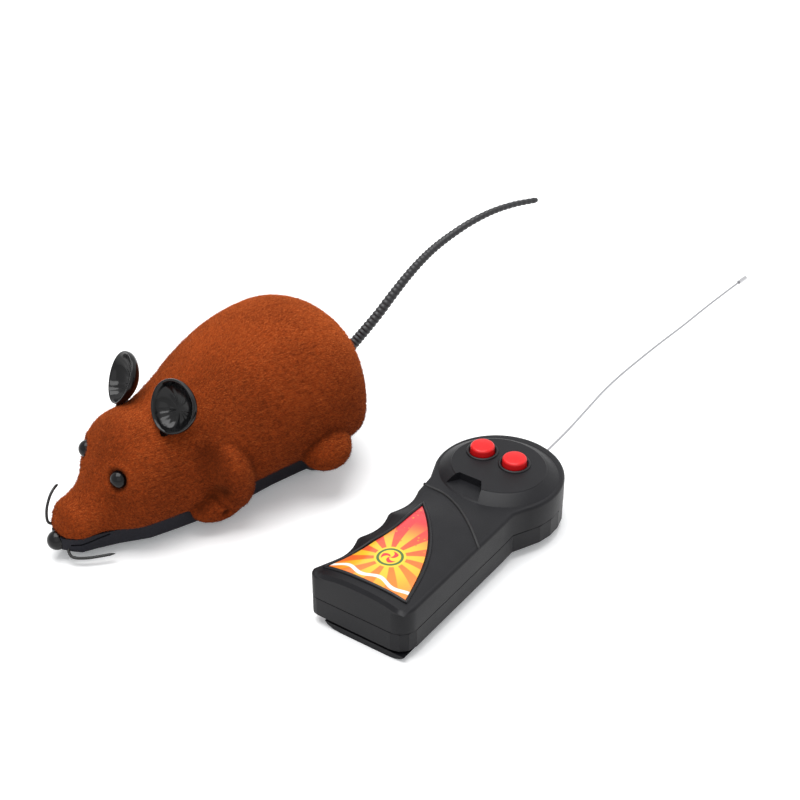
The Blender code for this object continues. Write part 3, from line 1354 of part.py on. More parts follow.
def make_battery():
    foot = Vector((FIRST_CELL, 0.0, CELL_AXIS_HEIGHT))
    along = Vector((1.0, 0.0, 0.0))
    profile = [
        (0.0, 0.0),
        (CELL_RADIUS, 0.0),
        (CELL_RADIUS, CELL_THICKNESS - CELL_LIP),
        (CELL_RADIUS - CELL_LIP, CELL_THICKNESS),
        (0.0, CELL_THICKNESS),
    ]
    for number in range(CELL_COUNT):
        name = f"button_cell_{number + 1}"
        solid(name, turned(profile, foot, along, SMALL_SIDES), STEEL, MOUSE, foot)
        foot = foot + along * CELL_STEP
    size = (CONTACT_PLATE, 2 * CELL_RADIUS, 2 * CELL_RADIUS)
    low = CELL_AXIS_HEIGHT - CELL_RADIUS
    solid("battery_contact", block((foot.x + CONTACT_PLATE / 2, 0.0), size, low), BRASS, MOUSE, foot)
    inset = SEAT_GAP + CELL_SPRING_WIRE
    ends = (CELLS_FRONT + inset, 0.0, CELL_AXIS_HEIGHT), (FIRST_CELL - inset, 0.0, CELL_AXIS_HEIGHT)
    points = spring_points(CELL_SPRING_TURNS, CELL_SPRING_RADIUS, *ends)
    print("battery spring, least gap between curls in metres:", coil_gap(points, CELL_SPRING_WIRE))
    tube("battery_spring", points, [CELL_SPRING_WIRE] * len(points), STEEL, MOUSE, 1)


def make_battery_door():
    axis = Vector((DOOR_AXIS_BACK, 0.0, DOOR_AXIS_HEIGHT))
    half = CELL_BOX_HALF + DOOR_LEDGE - SEAT_GAP
    low = (axis.x, -half, BELLY_CLEARANCE)
    door = solid("battery_door", box(low, (DOOR_RECESS_BACK - SEAT_GAP, half, DOOR_TOP)), BLACK, MOUSE, axis)
    roll = Vector((0.0, half, 0.0))
    join(door, rod(DOOR_THICKNESS / 2, axis - roll, axis + roll))
    pin = Vector((0.0, CELL_BOX_HALF + DOOR_LEDGE + DOOR_PIN_LENGTH, 0.0))
    join(door, rod(DOOR_PIN_RADIUS, axis - pin, axis + pin))
    foot = Vector((DOOR_SCREW_BACK, 0.0, BELLY_CLEARANCE))
    below = foot - UP * CUT_OVERRUN
    cut(door, rod(SCREW_HEAD_RADIUS + SHAFT_GAP, below, foot + UP * (DOOR_SCREW_HEAD + SHAFT_GAP)))
    cut(door, rod(SCREW_RADIUS + SHAFT_GAP, below, foot + UP * (2 * DOOR_THICKNESS)))
    body = screw(foot, UP, DOOR_SCREW_LENGTH, DOOR_SCREW_HEAD)
    solid("battery_door_screw", body, STEEL, MOUSE, foot)


def make_receiver():
    half = BOARD_HALF_WIDTH
    top = BOARD_HEIGHT + BOARD_THICKNESS
    back = BOARD_FRONT + BOARD_LENGTH
    board = solid("receiver_board", box((BOARD_FRONT, -half, BOARD_HEIGHT), (back, half, top)), BOARD, MOUSE)
    sunk = top - JOIN_DEPTH
    join(
        board,
        block((BOARD_FRONT + BOARD_LENGTH / 2, 0.0), CHIP_SIZE, sunk),
        block((BOARD_FRONT + COIL_SIZE[0], half / 2), COIL_SIZE, sunk),
        block((BOARD_FRONT + CRYSTAL_SIZE[0], -half / 2), CRYSTAL_SIZE, sunk),
    )
    spot = Vector((back - 2 * COIL_SIZE[0], half / 2, sunk))
    join(board, rod(CAPACITOR_RADIUS, spot, spot + UP * CAPACITOR_HEIGHT))


def make_switch():
    flange_low = FLOOR_TOP + SEAT_GAP
    body_low = flange_low + KNOB_FLANGE_HEIGHT + SEAT_GAP
    solid("switch_body", block((SWITCH_BACK, 0.0), SWITCH_BODY, body_low), STEEL, MOUSE)
    side = -SWITCH_TRAVEL / 2
    low = BELLY_CLEARANCE - KNOB_PROUD
    height = flange_low + KNOB_FLANGE_HEIGHT - low
    shape = block((SWITCH_BACK, side), (*KNOB_SIZE, height), low)
    knob = solid("switch_knob", shape, BLACK, MOUSE, (SWITCH_BACK, side, low))
    flange = (KNOB_SIZE[0] + 2 * KNOB_FLANGE, KNOB_SIZE[1] + 2 * KNOB_FLANGE, KNOB_FLANGE_HEIGHT)
    join(knob, block((SWITCH_BACK, side), flange, flange_low))


def make_shell_screws():
    for word, back in zip(("front", "rear"), SHELL_POST_PLACES):
        foot = screw_foot(back)
        body = screw(foot, UP, SCREW_LENGTH, SCREW_HEAD_HEIGHT)
        solid("shell_screw_" + word, body, STEEL, MOUSE, foot)


def arc(centre, radius, start, end, count):
    """Points of an arc, its two ends among them."""
    points = []
    for k in range(count):
        angle = start + (end - start) * k / (count - 1)
        points.append((centre[0] + radius * math.cos(angle), centre[1] + radius * math.sin(angle)))
    return points


def case_outline(inset=0.0):
    """The remote seen from above, anticlockwise from its near right corner, drawn in by inset."""
    half = HANDLE_HALF_WIDTH
    near, far = NEAR_CORNER, FAR_CORNER
    points = arc((near, near - half), near - inset, math.pi, 3 * math.pi / 2, CORNER_POINTS)
    points.append((NECK_LENGTH, inset - half))
    points.append((NECK_NEAR[0], inset - NECK_NEAR[1]))
    points += arc((HEAD_CENTRE, HEAD_OFFSET), HEAD_RADIUS - inset, HEAD_START, HEAD_END, HEAD_POINTS)
    points.append((NECK_FAR[0], NECK_FAR[1] - inset))
    for grip in reversed(range(GRIP_COUNT)):
        for k in reversed(range(GRIP_POINTS)):
            share = (k + 1) / GRIP_POINTS
            along = GRIP_START + (grip + share) * GRIP_PITCH
            edge = half - GRIP_TAPER * (grip + share) / GRIP_COUNT
            points.append((along, edge - GRIP_DEPTH * math.sin(math.pi * share) - inset))
    corner = far - min(inset, far / 2)
    flared = half + HANDLE_FLARE - inset - corner
    points += arc((inset + corner, flared), corner, math.pi / 2, math.pi, CORNER_POINTS)
    return points


def lifted(points, height):
    return [(x, y, height) for x, y in points]


def platform_ring(grow, height, front_gap=0.0):
    """The platform's oval, grown all round and drawn back from the handle by front_gap."""
    ring = []
    for k in range(PLATFORM_POINTS):
        angle = 2 * math.pi * k / PLATFORM_POINTS
        x = PLATFORM_BACK + front_gap / 2
        x += (PLATFORM_HALF_LENGTH + grow - front_gap / 2) * math.cos(angle)
        ring.append((x, HEAD_OFFSET + (PLATFORM_HALF_WIDTH + grow) * math.sin(angle), height))
    return ring


def label_outline(grow):
    """The label's three bowed sides, grown all round."""
    corners = [Vector(corner) for corner in LABEL_CORNERS]
    middle = (corners[0] + corners[1] + corners[2]) / len(corners)
    points = []
    for start, end, bow in zip(corners, corners[1:] + corners[:1], LABEL_BOWS):
        way = (end - start).normalized()
        out = Vector((way.y, -way.x))
        if out.dot(start - middle) < 0:
            out = -out
        for k in range(LABEL_SIDE_POINTS):
            share = k / LABEL_SIDE_POINTS
            spot = start.lerp(end, share) + out * (bow * math.sin(math.pi * share))
            points.append(spot + (spot - middle).normalized() * grow)
    return [(point.x, point.y) for point in points]


def notch_outline():
    """The hollow in the platform's skirt, on the handle's side."""
    edge = PLATFORM_BACK - PLATFORM_HALF_LENGTH
    front = edge - PLATFORM_SKIRT - CUT_OVERRUN
    inner, outer = NOTCH_HALF_WIDTH, NOTCH_HALF_WIDTH + NOTCH_FLARE
    side = NOTCH_OFFSET
    return [
        (front, side - outer - NOTCH_FLARE),
        (edge, side - outer),
        (edge + NOTCH_DEPTH, side - inner),
        (edge + NOTCH_DEPTH, side + inner),
        (edge, side + outer),
        (front, side + outer + NOTCH_FLARE),
    ]


def button_places():
    across = BUTTON_SPACING / 2
    return (("left", BUTTON_OFFSET + across), ("right", BUTTON_OFFSET - across))


def make_top_case():
    low = PARTING + SEAT_GAP / 2
    outline = case_outline()
    rings = [lifted(outline, low), lifted(outline, RIM_HEIGHT - CASE_ROUNDING)]
    rings.append(lifted(case_outline(CASE_ROUNDING), RIM_HEIGHT))
    case = solid("remote_top_case", skin(rings), BLACK, REMOTE)
    foot = RIM_HEIGHT - JOIN_DEPTH
    join(case, skin([platform_ring(PLATFORM_SKIRT, foot), platform_ring(0.0, PLATFORM_HEIGHT)]))
    cut(case, slab(notch_outline(), RIM_HEIGHT + NOTCH_FLOOR, PLATFORM_HEIGHT + CUT_OVERRUN))
    cut(case, slab(case_outline(CASE_WALL), low - CUT_OVERRUN, CASE_CEILING))
    heights = (CASE_CEILING - JOIN_DEPTH, PLATFORM_UNDER)
    cut(case, skin([platform_ring(-CASE_WALL, height, NOTCH_DEPTH) for height in heights]))
    label_low = RIM_HEIGHT - LABEL_RECESS
    cut(case, slab(label_outline(LABEL_ROOM), label_low, RIM_HEIGHT + CUT_OVERRUN))
    for _, across in button_places():
        spot = Vector((BUTTON_BACK, across, 0.0))
        start, end = spot + UP * (PLATFORM_UNDER - JOIN_DEPTH), spot + UP * (PLATFORM_HEIGHT + CUT_OVERRUN)
        cut(case, rod(BUTTON_RADIUS + BUTTON_HOLE_GAP, start, end, ROUND_SIDES))
    spot = Vector((REMOTE_SCREW_BACK, 0.0, 0.0))
    post_low = CASE_BOTTOM + REMOTE_PAD_HEIGHT + SEAT_GAP
    join(case, rod(REMOTE_POST_RADIUS, spot + UP * post_low, spot + UP * (CASE_CEILING + JOIN_DEPTH)))
    screw_end = CASE_BOTTOM + SCREW_LENGTH + 2 * SEAT_GAP
    cut(case, rod(SCREW_RADIUS + SHAFT_GAP, spot, spot + UP * screw_end))
    wall = HEAD_CENTRE + math.sqrt(HEAD_RADIUS**2 - (AERIAL_SIDE - HEAD_OFFSET) ** 2)
    spot = Vector((wall, AERIAL_SIDE, AERIAL_HEIGHT))
    along = Vector((1.0, 0.0, 0.0))
    join(case, rod(AERIAL_BOSS_RADIUS, spot - along * AERIAL_BOSS_LENGTH, spot - along * JOIN_DEPTH))
    start = spot - along * (2 * AERIAL_BOSS_LENGTH)
    cut(case, rod(AERIAL_RADIUS + 2 * SHAFT_GAP, start, spot + along * CUT_OVERRUN))
    label_low += SHAFT_GAP
    solid("remote_label", slab(label_outline(0.0), label_low, label_low + LABEL_THICKNESS), LABEL, REMOTE)


def remote_board_posts():
    near = REMOTE_BOARD_FRONT + POST_INSET
    far = REMOTE_BOARD_FRONT + REMOTE_BOARD_LENGTH - POST_INSET
    side = REMOTE_BOARD_HALF_WIDTH - POST_INSET
    return ((near, side), (near, -side), (far, 0.0))


def make_bottom_case():
    top = PARTING - SEAT_GAP / 2
    outline = case_outline()
    rings = [lifted(case_outline(CASE_ROUNDING), CASE_BOTTOM)]
    rings += [lifted(outline, CASE_BOTTOM + CASE_ROUNDING), lifted(outline, top)]
    case = solid("remote_bottom_case", skin(rings), BLACK, REMOTE)
    floor = CASE_BOTTOM + CASE_WALL
    low = floor - JOIN_DEPTH
    near, far = AA_OFFSET - OPENING_HALF_WIDTH, AA_OFFSET + OPENING_HALF_WIDTH
    cut(case, slab(case_outline(CASE_WALL), floor, top + CUT_OVERRUN))
    wall = CONTACT_WALL + SEAT_GAP
    join(case, box((wall, near, low), (wall + CASE_WALL, far, PARTITION_TOP)))
    cut(case, box((OPENING_FRONT, near, 0.0), (wall, far, floor + CUT_OVERRUN)))
    hook = DOOR_TAB_HOOK + SHAFT_GAP
    for place in DOOR_TAB_PLACES:
        front = place - DOOR_SLIDE - SEAT_GAP
        back = front + DOOR_TAB_LENGTH + 2 * SEAT_GAP
        cut(case, box((front, near - hook, 0.0), (back, far + hook, floor + CUT_OVERRUN)))
        slot = back + DOOR_SLIDE
        cut(case, box((front, near - hook, floor), (slot, far + hook, floor + DOOR_TAB_THICKNESS + SEAT_GAP)))
    for x, y in remote_board_posts():
        join(case, rod(REMOTE_POST_RADIUS, (x, y, low), (x, y, REMOTE_BOARD_LOW - SEAT_GAP)))
    spot = Vector((REMOTE_SCREW_BACK, 0.0, 0.0))
    pad_top = CASE_BOTTOM + REMOTE_PAD_HEIGHT
    join(case, rod(PAD_RADIUS, spot + UP * low, spot + UP * pad_top))
    foot = spot + UP * (CASE_BOTTOM + SEAT_GAP)
    head_top = foot + UP * (SCREW_HEAD_HEIGHT + SHAFT_GAP)
    cut(case, rod(SCREW_HEAD_RADIUS + SHAFT_GAP, spot, head_top))
    cut(case, rod(SCREW_RADIUS + SHAFT_GAP, spot, spot + UP * (pad_top + CUT_OVERRUN)))
    solid("remote_screw", screw(foot, UP, SCREW_LENGTH, SCREW_HEAD_HEIGHT), STEEL, REMOTE, foot)


def make_remote_door():
    front, back = REMOTE_DOOR_FRONT, REMOTE_DOOR_FRONT + REMOTE_DOOR_LENGTH
    top = CASE_BOTTOM - SEAT_GAP
    half = [(across * REMOTE_DOOR_HALF_WIDTH, top - down * top) for across, down in DOOR_BULGE_SHARES]
    section = half + [(-across, height) for across, height in reversed(half)]
    rings = [[(along, AA_OFFSET + across, height) for across, height in section] for along in (front, back)]
    door = solid("remote_battery_door", skin(rings), BLACK, REMOTE, (front, 0.0, 0.0))
    wall = REMOTE_DOOR_WALL
    inner = REMOTE_DOOR_HALF_WIDTH * DOOR_BULGE_SHARES[-2][0]
    near, far = AA_OFFSET - inner, AA_OFFSET + inner
    cut(door, box((front + wall, near, wall), (back - wall, far, top + CUT_OVERRUN)))
    tab_top = CASE_BOTTOM + CASE_WALL + SEAT_GAP + DOOR_TAB_HOOK
    outer = OPENING_HALF_WIDTH - SEAT_GAP
    for place in DOOR_TAB_PLACES:
        for side in (-1, 1):
            root = AA_OFFSET + side * (outer - DOOR_TAB_THICKNESS)
            low, high = sorted((root, AA_OFFSET + side * outer))
            join(door, box((place, low, top - JOIN_DEPTH), (place + DOOR_TAB_LENGTH, high, tab_top)))
            low, high = sorted((root, AA_OFFSET + side * (outer + DOOR_TAB_HOOK + SEAT_GAP)))
            shelf = tab_top - DOOR_TAB_HOOK
            join(door, box((place, low, shelf), (place + DOOR_TAB_LENGTH, high, tab_top)))


def make_remote_cells():
    profile = [
        (0.0, 0.0),
        (AA_RADIUS, 0.0),
        (AA_RADIUS, AA_LENGTH),
        (AA_TIP_RADIUS, AA_LENGTH),
        (AA_TIP_RADIUS, AA_LENGTH + AA_TIP_LENGTH),
        (0.0, AA_LENGTH + AA_TIP_LENGTH),
    ]
    back = AA_FRONT + AA_LENGTH
    foot = Vector((back, AA_LEFT, AA_HEIGHT))
    solid("remote_cell_left", turned(profile, foot, (-1.0, 0.0, 0.0), AA_SIDES), STEEL, REMOTE, foot)
    foot = Vector((AA_FRONT, AA_RIGHT, AA_HEIGHT))
    solid("remote_cell_right", turned(profile, foot, (1.0, 0.0, 0.0), AA_SIDES), STEEL, REMOTE, foot)
    low = CASE_BOTTOM + CASE_WALL + SEAT_GAP
    size = (CONTACT_PLATE, AA_LEFT - AA_RIGHT + 2 * AA_TIP_RADIUS, AA_HEIGHT + AA_TIP_RADIUS - low)
    bridge = solid("remote_contact_bridge", block((BRIDGE_FRONT, AA_OFFSET), size, low), STEEL, REMOTE)
    bump_end = (AA_FRONT - SEAT_GAP, AA_RIGHT, AA_HEIGHT)
    join(bridge, rod(BRIDGE_BUMP_RADIUS, (BRIDGE_FRONT, AA_RIGHT, AA_HEIGHT), bump_end))
    inset = SEAT_GAP + AA_SPRING_WIRE
    ends = (back + inset, AA_LEFT, AA_HEIGHT), (CONTACT_WALL - AA_SPRING_WIRE, AA_LEFT, AA_HEIGHT)
    points = spring_points(AA_SPRING_TURNS, AA_SPRING_RADIUS, *ends)
    print("remote spring, least gap between curls in metres:", coil_gap(points, AA_SPRING_WIRE))
    tube("remote_contact_spring", points, [AA_SPRING_WIRE] * len(points), STEEL, REMOTE, 1)


def make_remote_board():
    half = REMOTE_BOARD_HALF_WIDTH
    front, back = REMOTE_BOARD_FRONT, REMOTE_BOARD_FRONT + REMOTE_BOARD_LENGTH
    low, top = REMOTE_BOARD_LOW, REMOTE_BOARD_TOP
    board = solid("remote_board", box((front, -half, low), (back, half, top)), BOARD, REMOTE)
    chip_low = low + JOIN_DEPTH - REMOTE_CHIP_SIZE[2]
    join(board, block((front + 2 * REMOTE_CHIP_SIZE[0], HEAD_OFFSET), REMOTE_CHIP_SIZE, chip_low))
    strip_front = AA_FRONT + AA_LENGTH + AA_TIP_LENGTH + SEAT_GAP
    near, far = AA_RIGHT - AA_TIP_RADIUS / 2, AA_RIGHT + AA_TIP_RADIUS / 2
    strip_top = low + CONTACT_PLATE
    join(board, box((strip_front, near, low), (front + JOIN_DEPTH, far, strip_top)))
    strip_low = AA_HEIGHT - AA_TIP_RADIUS / 2
    join(board, box((strip_front, near, strip_low), (strip_front + CONTACT_PLATE, far, strip_top)))
    profile = [
        (DOME_BASE_RADIUS - DOME_WALL, 0.0),
        (DOME_BASE_RADIUS, 0.0),
        (DOME_BASE_RADIUS, DOME_WALL),
        (DOME_TOP_RADIUS, DOME_HEIGHT),
        (0.0, DOME_HEIGHT),
        (0.0, DOME_HEIGHT - DOME_WALL),
        (DOME_TOP_RADIUS - DOME_WALL, DOME_HEIGHT - DOME_WALL),
    ]
    for word, across in button_places():
        foot = Vector((BUTTON_BACK, across, DOME_LOW))
        solid("remote_dome_" + word, turned(profile, foot, UP, SMALL_SIDES), RUBBER, REMOTE, foot)


def make_buttons():
    top = PLATFORM_HEIGHT + BUTTON_PROUD - STEM_LOW
    flange_low, flange_top = FLANGE_LOW - STEM_LOW, FLANGE_TOP - STEM_LOW
    flange = BUTTON_RADIUS + BUTTON_FLANGE
    profile = [
        (0.0, 0.0),
        (BUTTON_STEM_RADIUS, 0.0),
        (BUTTON_STEM_RADIUS, flange_low),
        (flange, flange_low),
        (flange, flange_top),
        (BUTTON_RADIUS, flange_top),
        (BUTTON_RADIUS, top - BUTTON_ROUNDING),
        (BUTTON_RADIUS - BUTTON_ROUNDING, top),
        (0.0, top),
    ]
    for word, across in button_places():
        foot = Vector((BUTTON_BACK, across, STEM_LOW))
        solid("remote_button_" + word, turned(profile, foot, UP), RED, REMOTE, foot)


def make_aerial():
    route = []
    for along, up in AERIAL_CURVE_SHARES:
        route.append((AERIAL_ROOT + along * AERIAL_REACH, AERIAL_SIDE, AERIAL_HEIGHT + up * AERIAL_RISE))
    points = smooth_points(route, AERIAL_POINTS)
    tube("remote_antenna", points, [AERIAL_RADIUS] * len(points), STEEL, REMOTE, 2)
    way = (points[-1] - points[-2]).normalized()
    foot = points[-1] - way * AERIAL_BEAD_LENGTH
    bore = AERIAL_RADIUS + SHAFT_GAP
    depth = AERIAL_BEAD_LENGTH + SEAT_GAP
    profile = [
        (bore, 0.0),
        (AERIAL_BEAD_RADIUS, 0.0),
        (AERIAL_BEAD_RADIUS, depth + AERIAL_RADIUS),
        (AERIAL_RADIUS, depth + 2 * AERIAL_RADIUS),
        (0.0, depth + 2 * AERIAL_RADIUS),
        (0.0, depth),
        (bore, depth),
    ]
    solid("remote_antenna_tip", turned(profile, foot, way, SMALL_SIDES), STEEL, REMOTE, foot)


make_body_shell()
make_chassis()
make_face()
make_tail()
make_rear_axle()
make_gearbox()
make_gears()
make_motor()
make_caster()
make_battery()
make_battery_door()
make_receiver()
make_switch()
make_shell_screws()
make_top_case()
make_bottom_case()
make_remote_door()
make_remote_cells()
make_remote_board()
make_buttons()
make_aerial()
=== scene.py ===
"""Looks of the toy mouse and its remote control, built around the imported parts.

The file is laid out as an add-on and is run as a script. Sizes are in metres. The mouse is drawn from
the tip of its snout and the remote from the middle of its handle's end, both on the floor.
"""

import math

import bmesh
import bpy
import numpy as np
from bpy.props import FloatProperty, FloatVectorProperty, IntProperty, PointerProperty
from mathutils import Matrix, Vector


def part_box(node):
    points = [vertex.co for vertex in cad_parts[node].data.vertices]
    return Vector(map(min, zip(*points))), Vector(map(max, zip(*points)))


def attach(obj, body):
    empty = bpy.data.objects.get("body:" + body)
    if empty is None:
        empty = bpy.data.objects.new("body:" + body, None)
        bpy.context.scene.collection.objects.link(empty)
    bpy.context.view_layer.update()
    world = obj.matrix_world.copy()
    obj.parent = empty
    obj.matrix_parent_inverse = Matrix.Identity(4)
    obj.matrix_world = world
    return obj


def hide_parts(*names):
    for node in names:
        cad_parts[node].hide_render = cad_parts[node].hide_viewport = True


bl_info = {
    "name": "Toy mouse set",
    "version": (1, 0, 0),
    "blender": (4, 5, 0),
    "location": "View3D > Sidebar > Toy mouse",
    "description": "Dresses the parts of a flocked toy mouse and its remote control",
    "category": "Object",
}

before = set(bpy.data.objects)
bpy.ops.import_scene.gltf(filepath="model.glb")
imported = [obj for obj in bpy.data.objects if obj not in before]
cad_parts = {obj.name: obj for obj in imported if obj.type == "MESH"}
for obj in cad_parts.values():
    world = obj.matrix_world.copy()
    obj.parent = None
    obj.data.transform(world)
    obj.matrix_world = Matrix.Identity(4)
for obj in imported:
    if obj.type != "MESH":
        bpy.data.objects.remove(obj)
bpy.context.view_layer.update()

# The mouse's body, measured on its packed shell
SHELL_LOW, SHELL_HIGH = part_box("body_shell")
FRONT_SHARE = 0.012
LENGTH = (SHELL_HIGH.x - SHELL_LOW.x) / (1 - FRONT_SHARE)
HALF_WIDTH = (SHELL_HIGH.y - SHELL_LOW.y) / 2
HEIGHT = SHELL_HIGH.z
MOUSE_ORIGIN = Vector((SHELL_HIGH.x - LENGTH, (SHELL_LOW.y + SHELL_HIGH.y) / 2, 0.0))
EDGE_FRONT = 0.0098
EDGE_REAR = 0.0125
ROUNDNESS = 2.25
WAIST_SHARE = 0.42
# Each row is a section: place along the length, then half width, top and underside as shares of the
# length, of half the width and of the height
SECTION_SHARES = (
    (0.012, 0.150, 0.205, 0.095),
    (0.036, 0.253, 0.282, 0.077),
    (0.050, 0.304, 0.300, 0.065),
    (0.085, 0.335, 0.322, 0.057),
    (0.120, 0.350, 0.376, 0.060),
    (0.155, 0.447, 0.480, 0.068),
    (0.185, 0.579, 0.588, 0.072),
    (0.215, 0.661, 0.652, 0.070),
    (0.260, 0.690, 0.684, 0.059),
    (0.325, 0.701, 0.693, 0.049),
    (0.405, 0.775, 0.756, 0.062),
    (0.505, 0.891, 0.871, 0.092),
    (0.605, 0.960, 0.959, 0.120),
    (0.705, 0.993, 1.000, 0.136),
    (0.795, 1.000, 0.998, 0.138),
    (0.870, 0.960, 0.947, 0.138),
    (0.925, 0.864, 0.877, 0.140),
    (0.965, 0.695, 0.783, 0.152),
    (0.990, 0.425, 0.674, 0.205),
    (1.000, 0.163, 0.563, 0.270),
)

# The remote stands turned on the floor
REMOTE_ORIGIN = Vector((-0.0995, -0.0540, 0.0))
REMOTE_TURN = math.radians(18)

# Sizes that several pieces share
SMOOTH_ANGLE = math.radians(40)
HALF_TURN = math.pi
FULL_TURN = 2 * math.pi
EGG_SEGMENTS = 48
EGG_RINGS = 32
MERGE_DISTANCE = 0.000001
PEG_SIDES = 24
BEAD_SIDES = 12
BLEND_STEPS = 5
FOLD_STEPS = 30
COMB_TURN = (0.0, 0.35, 0.25)

# The camera looks at this place on the floor, from the tip of the mouse's snout
LOOK_AT = (0.1494, 0.0061)
# Each lamp's name, place, size and power
LAMPS = (
    ("key_lamp", (-0.13, 0.16, 1.20), 1.0, 15.0),
    ("fill_lamp", (-0.60, -0.80, 0.80), 1.0, 1.5),
    ("side_lamp", (0.90, -0.10, 0.90), 1.0, 1.5),
)

# The flocked skin
EYE_SHARES = (0.178, 0.380, 0.456)
EYE_RADIUS = 0.0031
ARM_PLACE_SHARES = (0.480, 0.680, 0.338)
ARM_SIZE_SHARES = (0.071, 0.350, 0.236)
ARM_LEAN = math.radians(-9)
PAW_PLACE_SHARES = (0.447, 0.650, 0.148)
PAW_SIZE_SHARES = (0.086, 0.213, 0.088)
FOOT_PLACE_SHARES = (0.787, 0.868, 0.300)
FOOT_SIZE_SHARES = (0.078, 0.320, 0.122)
CHASSIS_INSET = 0.0008
HIDDEN_MARGIN = 0.0004
BODY_RINGS = 90
BODY_SIDES = 96
DOME_SHARE = 0.22
SKIN_GRAIN = 0.0008
FOLD_DEPTH = 0.0006
SOCKET_DEPTH = 0.0006
SOCKET_REACH = 0.0016
LID_HEIGHT = 0.0005
LID_REACH = 0.0050
FOLD_OUT_SHARE = 0.35
# Folds of the limbs: reach, depth and shadow, then their course as places along and up
FOLDS = (
    (0.0066, 0.0013, 0.35, (0.410, 0.500), (0.417, 0.390), (0.426, 0.290)),
    (0.0044, 0.0005, 0.80, (0.426, 0.300), (0.429, 0.268)),
    (0.0030, 0.0005, 0.50, (0.429, 0.280), (0.402, 0.230), (0.377, 0.185)),
    (0.0026, 0.0003, 0.35, (0.429, 0.280), (0.457, 0.225), (0.482, 0.205)),
    (0.0016, 0.0010, 1.00, (0.440, 0.145), (0.448, 0.148)),
)
FIBRE_SEED = 7
# Painted light on the fibres: how much lighter their colour is made where they face up than where they face
# sideways, and the facing at which it adds nothing
PAINTED_TOP_LIGHT = 0.45
PAINTED_LIGHT_LEVEL = 0.45

# The nose, ears, whiskers and tail
NOSE_RADIUS = 0.0034
EAR_LEFT_SHARES = (0.317, 0.420, 0.662)
EAR_RIGHT_SHARES = (0.285, 0.445, 0.643)
EAR_FACING = (-0.80, 0.22, 0.42)
EAR_SPREAD = 0.25
EAR_HEIGHT = 0.0182
EAR_WIDTH = 0.0187
EAR_DEPTH = 0.0036
EAR_WALL = 0.0013
EAR_EGG = 0.10
EAR_LOW = 0.12
EAR_PEG_RADIUS = 0.0017
EAR_PEG_LENGTH = 0.0052
EAR_PEG_SLANT = (1.0, -0.1)
EAR_RINGS = 64
EAR_SIDES = 120
EAR_RIM_ROW = 5
EAR_NECK = 0.0022
# Each row is a ring of the ear: its size, and its depth in cups and in walls
EAR_ROWS = (
    (0.00, 1.00, 1.00),
    (0.30, 0.94, 1.00),
    (0.60, 0.64, 1.00),
    (0.86, 0.22, 1.00),
    (0.99, -0.05, 0.60),
    (1.00, -0.24, 0.10),
    (0.965, -0.32, 0.00),
    (0.90, -0.20, 0.00),
    (0.80, 0.16, 0.15),
    (0.66, 0.50, 0.15),
    (0.48, 0.78, 0.08),
    (0.26, 0.94, 0.02),
    (0.00, 1.00, 0.00),
)
WHISKER_RADIUS = 0.0005
WHISKER_LEFT_SHARES = (
    (0.0300, 0.130, 0.62),
    (0.0220, 0.190, 0.45),
    (0.0270, 0.262, 0.34),
    (0.0605, 0.370, 0.33),
    (0.1270, 0.500, 0.37),
)
WHISKER_RIGHT_SHARES = (
    (0.0235, 0.125, 1.10),
    (0.0080, 0.165, 1.22),
    (0.0137, 0.211, 1.61),
    (0.0333, 0.268, 1.95),
    (0.0534, 0.317, 2.10),
    (0.0730, 0.370, 2.11),
)
TAIL_BACK = 0.1184
TAIL_UP = 0.0345
TAIL_REACH = 0.090
TAIL_RISE = 0.037
TAIL_RADII = (0.0022, 0.0011)
TAIL_RIBS = 56
TAIL_RIB_POINTS = 6
TAIL_VALLEY = 0.14
TAIL_PLUG = 0.006
TAIL_SHARES = (
    (0.000, 0.000),
    (0.055, 0.090),
    (0.117, 0.200),
    (0.187, 0.330),
    (0.257, 0.480),
    (0.327, 0.620),
    (0.398, 0.740),
    (0.468, 0.830),
    (0.553, 0.905),
    (0.654, 0.968),
    (0.764, 1.000),
    (0.877, 0.992),
    (1.000, 0.949),
)
EYE_LOOK = (0.45, -0.55, -0.65)
EYE_PEG_RADIUS = 0.0011
EYE_PEG_REACH = 0.0056
WHISKER_POINTS = 40

# The remote's case, seen from above
REMOTE_LENGTH = 0.1018
HANDLE_HALF_WIDTH = 0.0180
HANDLE_FLARE = 0.0016
HEAD_RADIUS = 0.0224
HEAD_CENTRE = REMOTE_LENGTH - HEAD_RADIUS
HEAD_OFFSET = -0.0013
HEAD_START = math.radians(238)
HEAD_END = math.radians(468)
NECK_LENGTH = 0.0560
NECK_NEAR = (0.0625, 0.0178)
NECK_FAR = (0.0640, 0.0166)
NEAR_CORNER = 0.006
FAR_CORNER = 0.003
GRIP_START = 0.0070
GRIP_PITCH = 0.0163
GRIP_DEPTH = 0.0021
GRIP_TAPER = 0.0022
GRIP_COUNT = 3
# Its heights and walls
PARTING = 0.0105
PARTING_GAP = 0.00030
RIM_HEIGHT = 0.0198
CASE_WALL = 0.0014
CASE_ROUNDING = 0.0012
CASE_CEILING = RIM_HEIGHT - CASE_WALL
PLATFORM_HEIGHT = 0.0227
PLATFORM_UNDER = PLATFORM_HEIGHT - CASE_WALL
PLATFORM_BACK = 0.0792
PLATFORM_HALF_LENGTH = 0.0150
PLATFORM_HALF_WIDTH = 0.0166
PLATFORM_SKIRT = 0.0052
NOTCH_FLOOR = 0.0004
NOTCH_OFFSET = 0.0030
NOTCH_DEPTH = 0.0036
NOTCH_HALF_WIDTH = 0.0040
NOTCH_FLARE = 0.0024
CROWN_RISE = 0.0026
CROWN_END = 0.0640
CROWN_EDGE = 0.0008
LABEL_CORNERS = ((0.0480, 0.0090), (0.0056, 0.0160), (0.0056, -0.0138))
LABEL_BOWS = (-0.0030, 0.0003, 0.0042)
LABEL_RECESS = 0.0007
LABEL_ROOM = 0.0004
LABEL_RIM = 0.0012
LABEL_GLUE = 0.00012
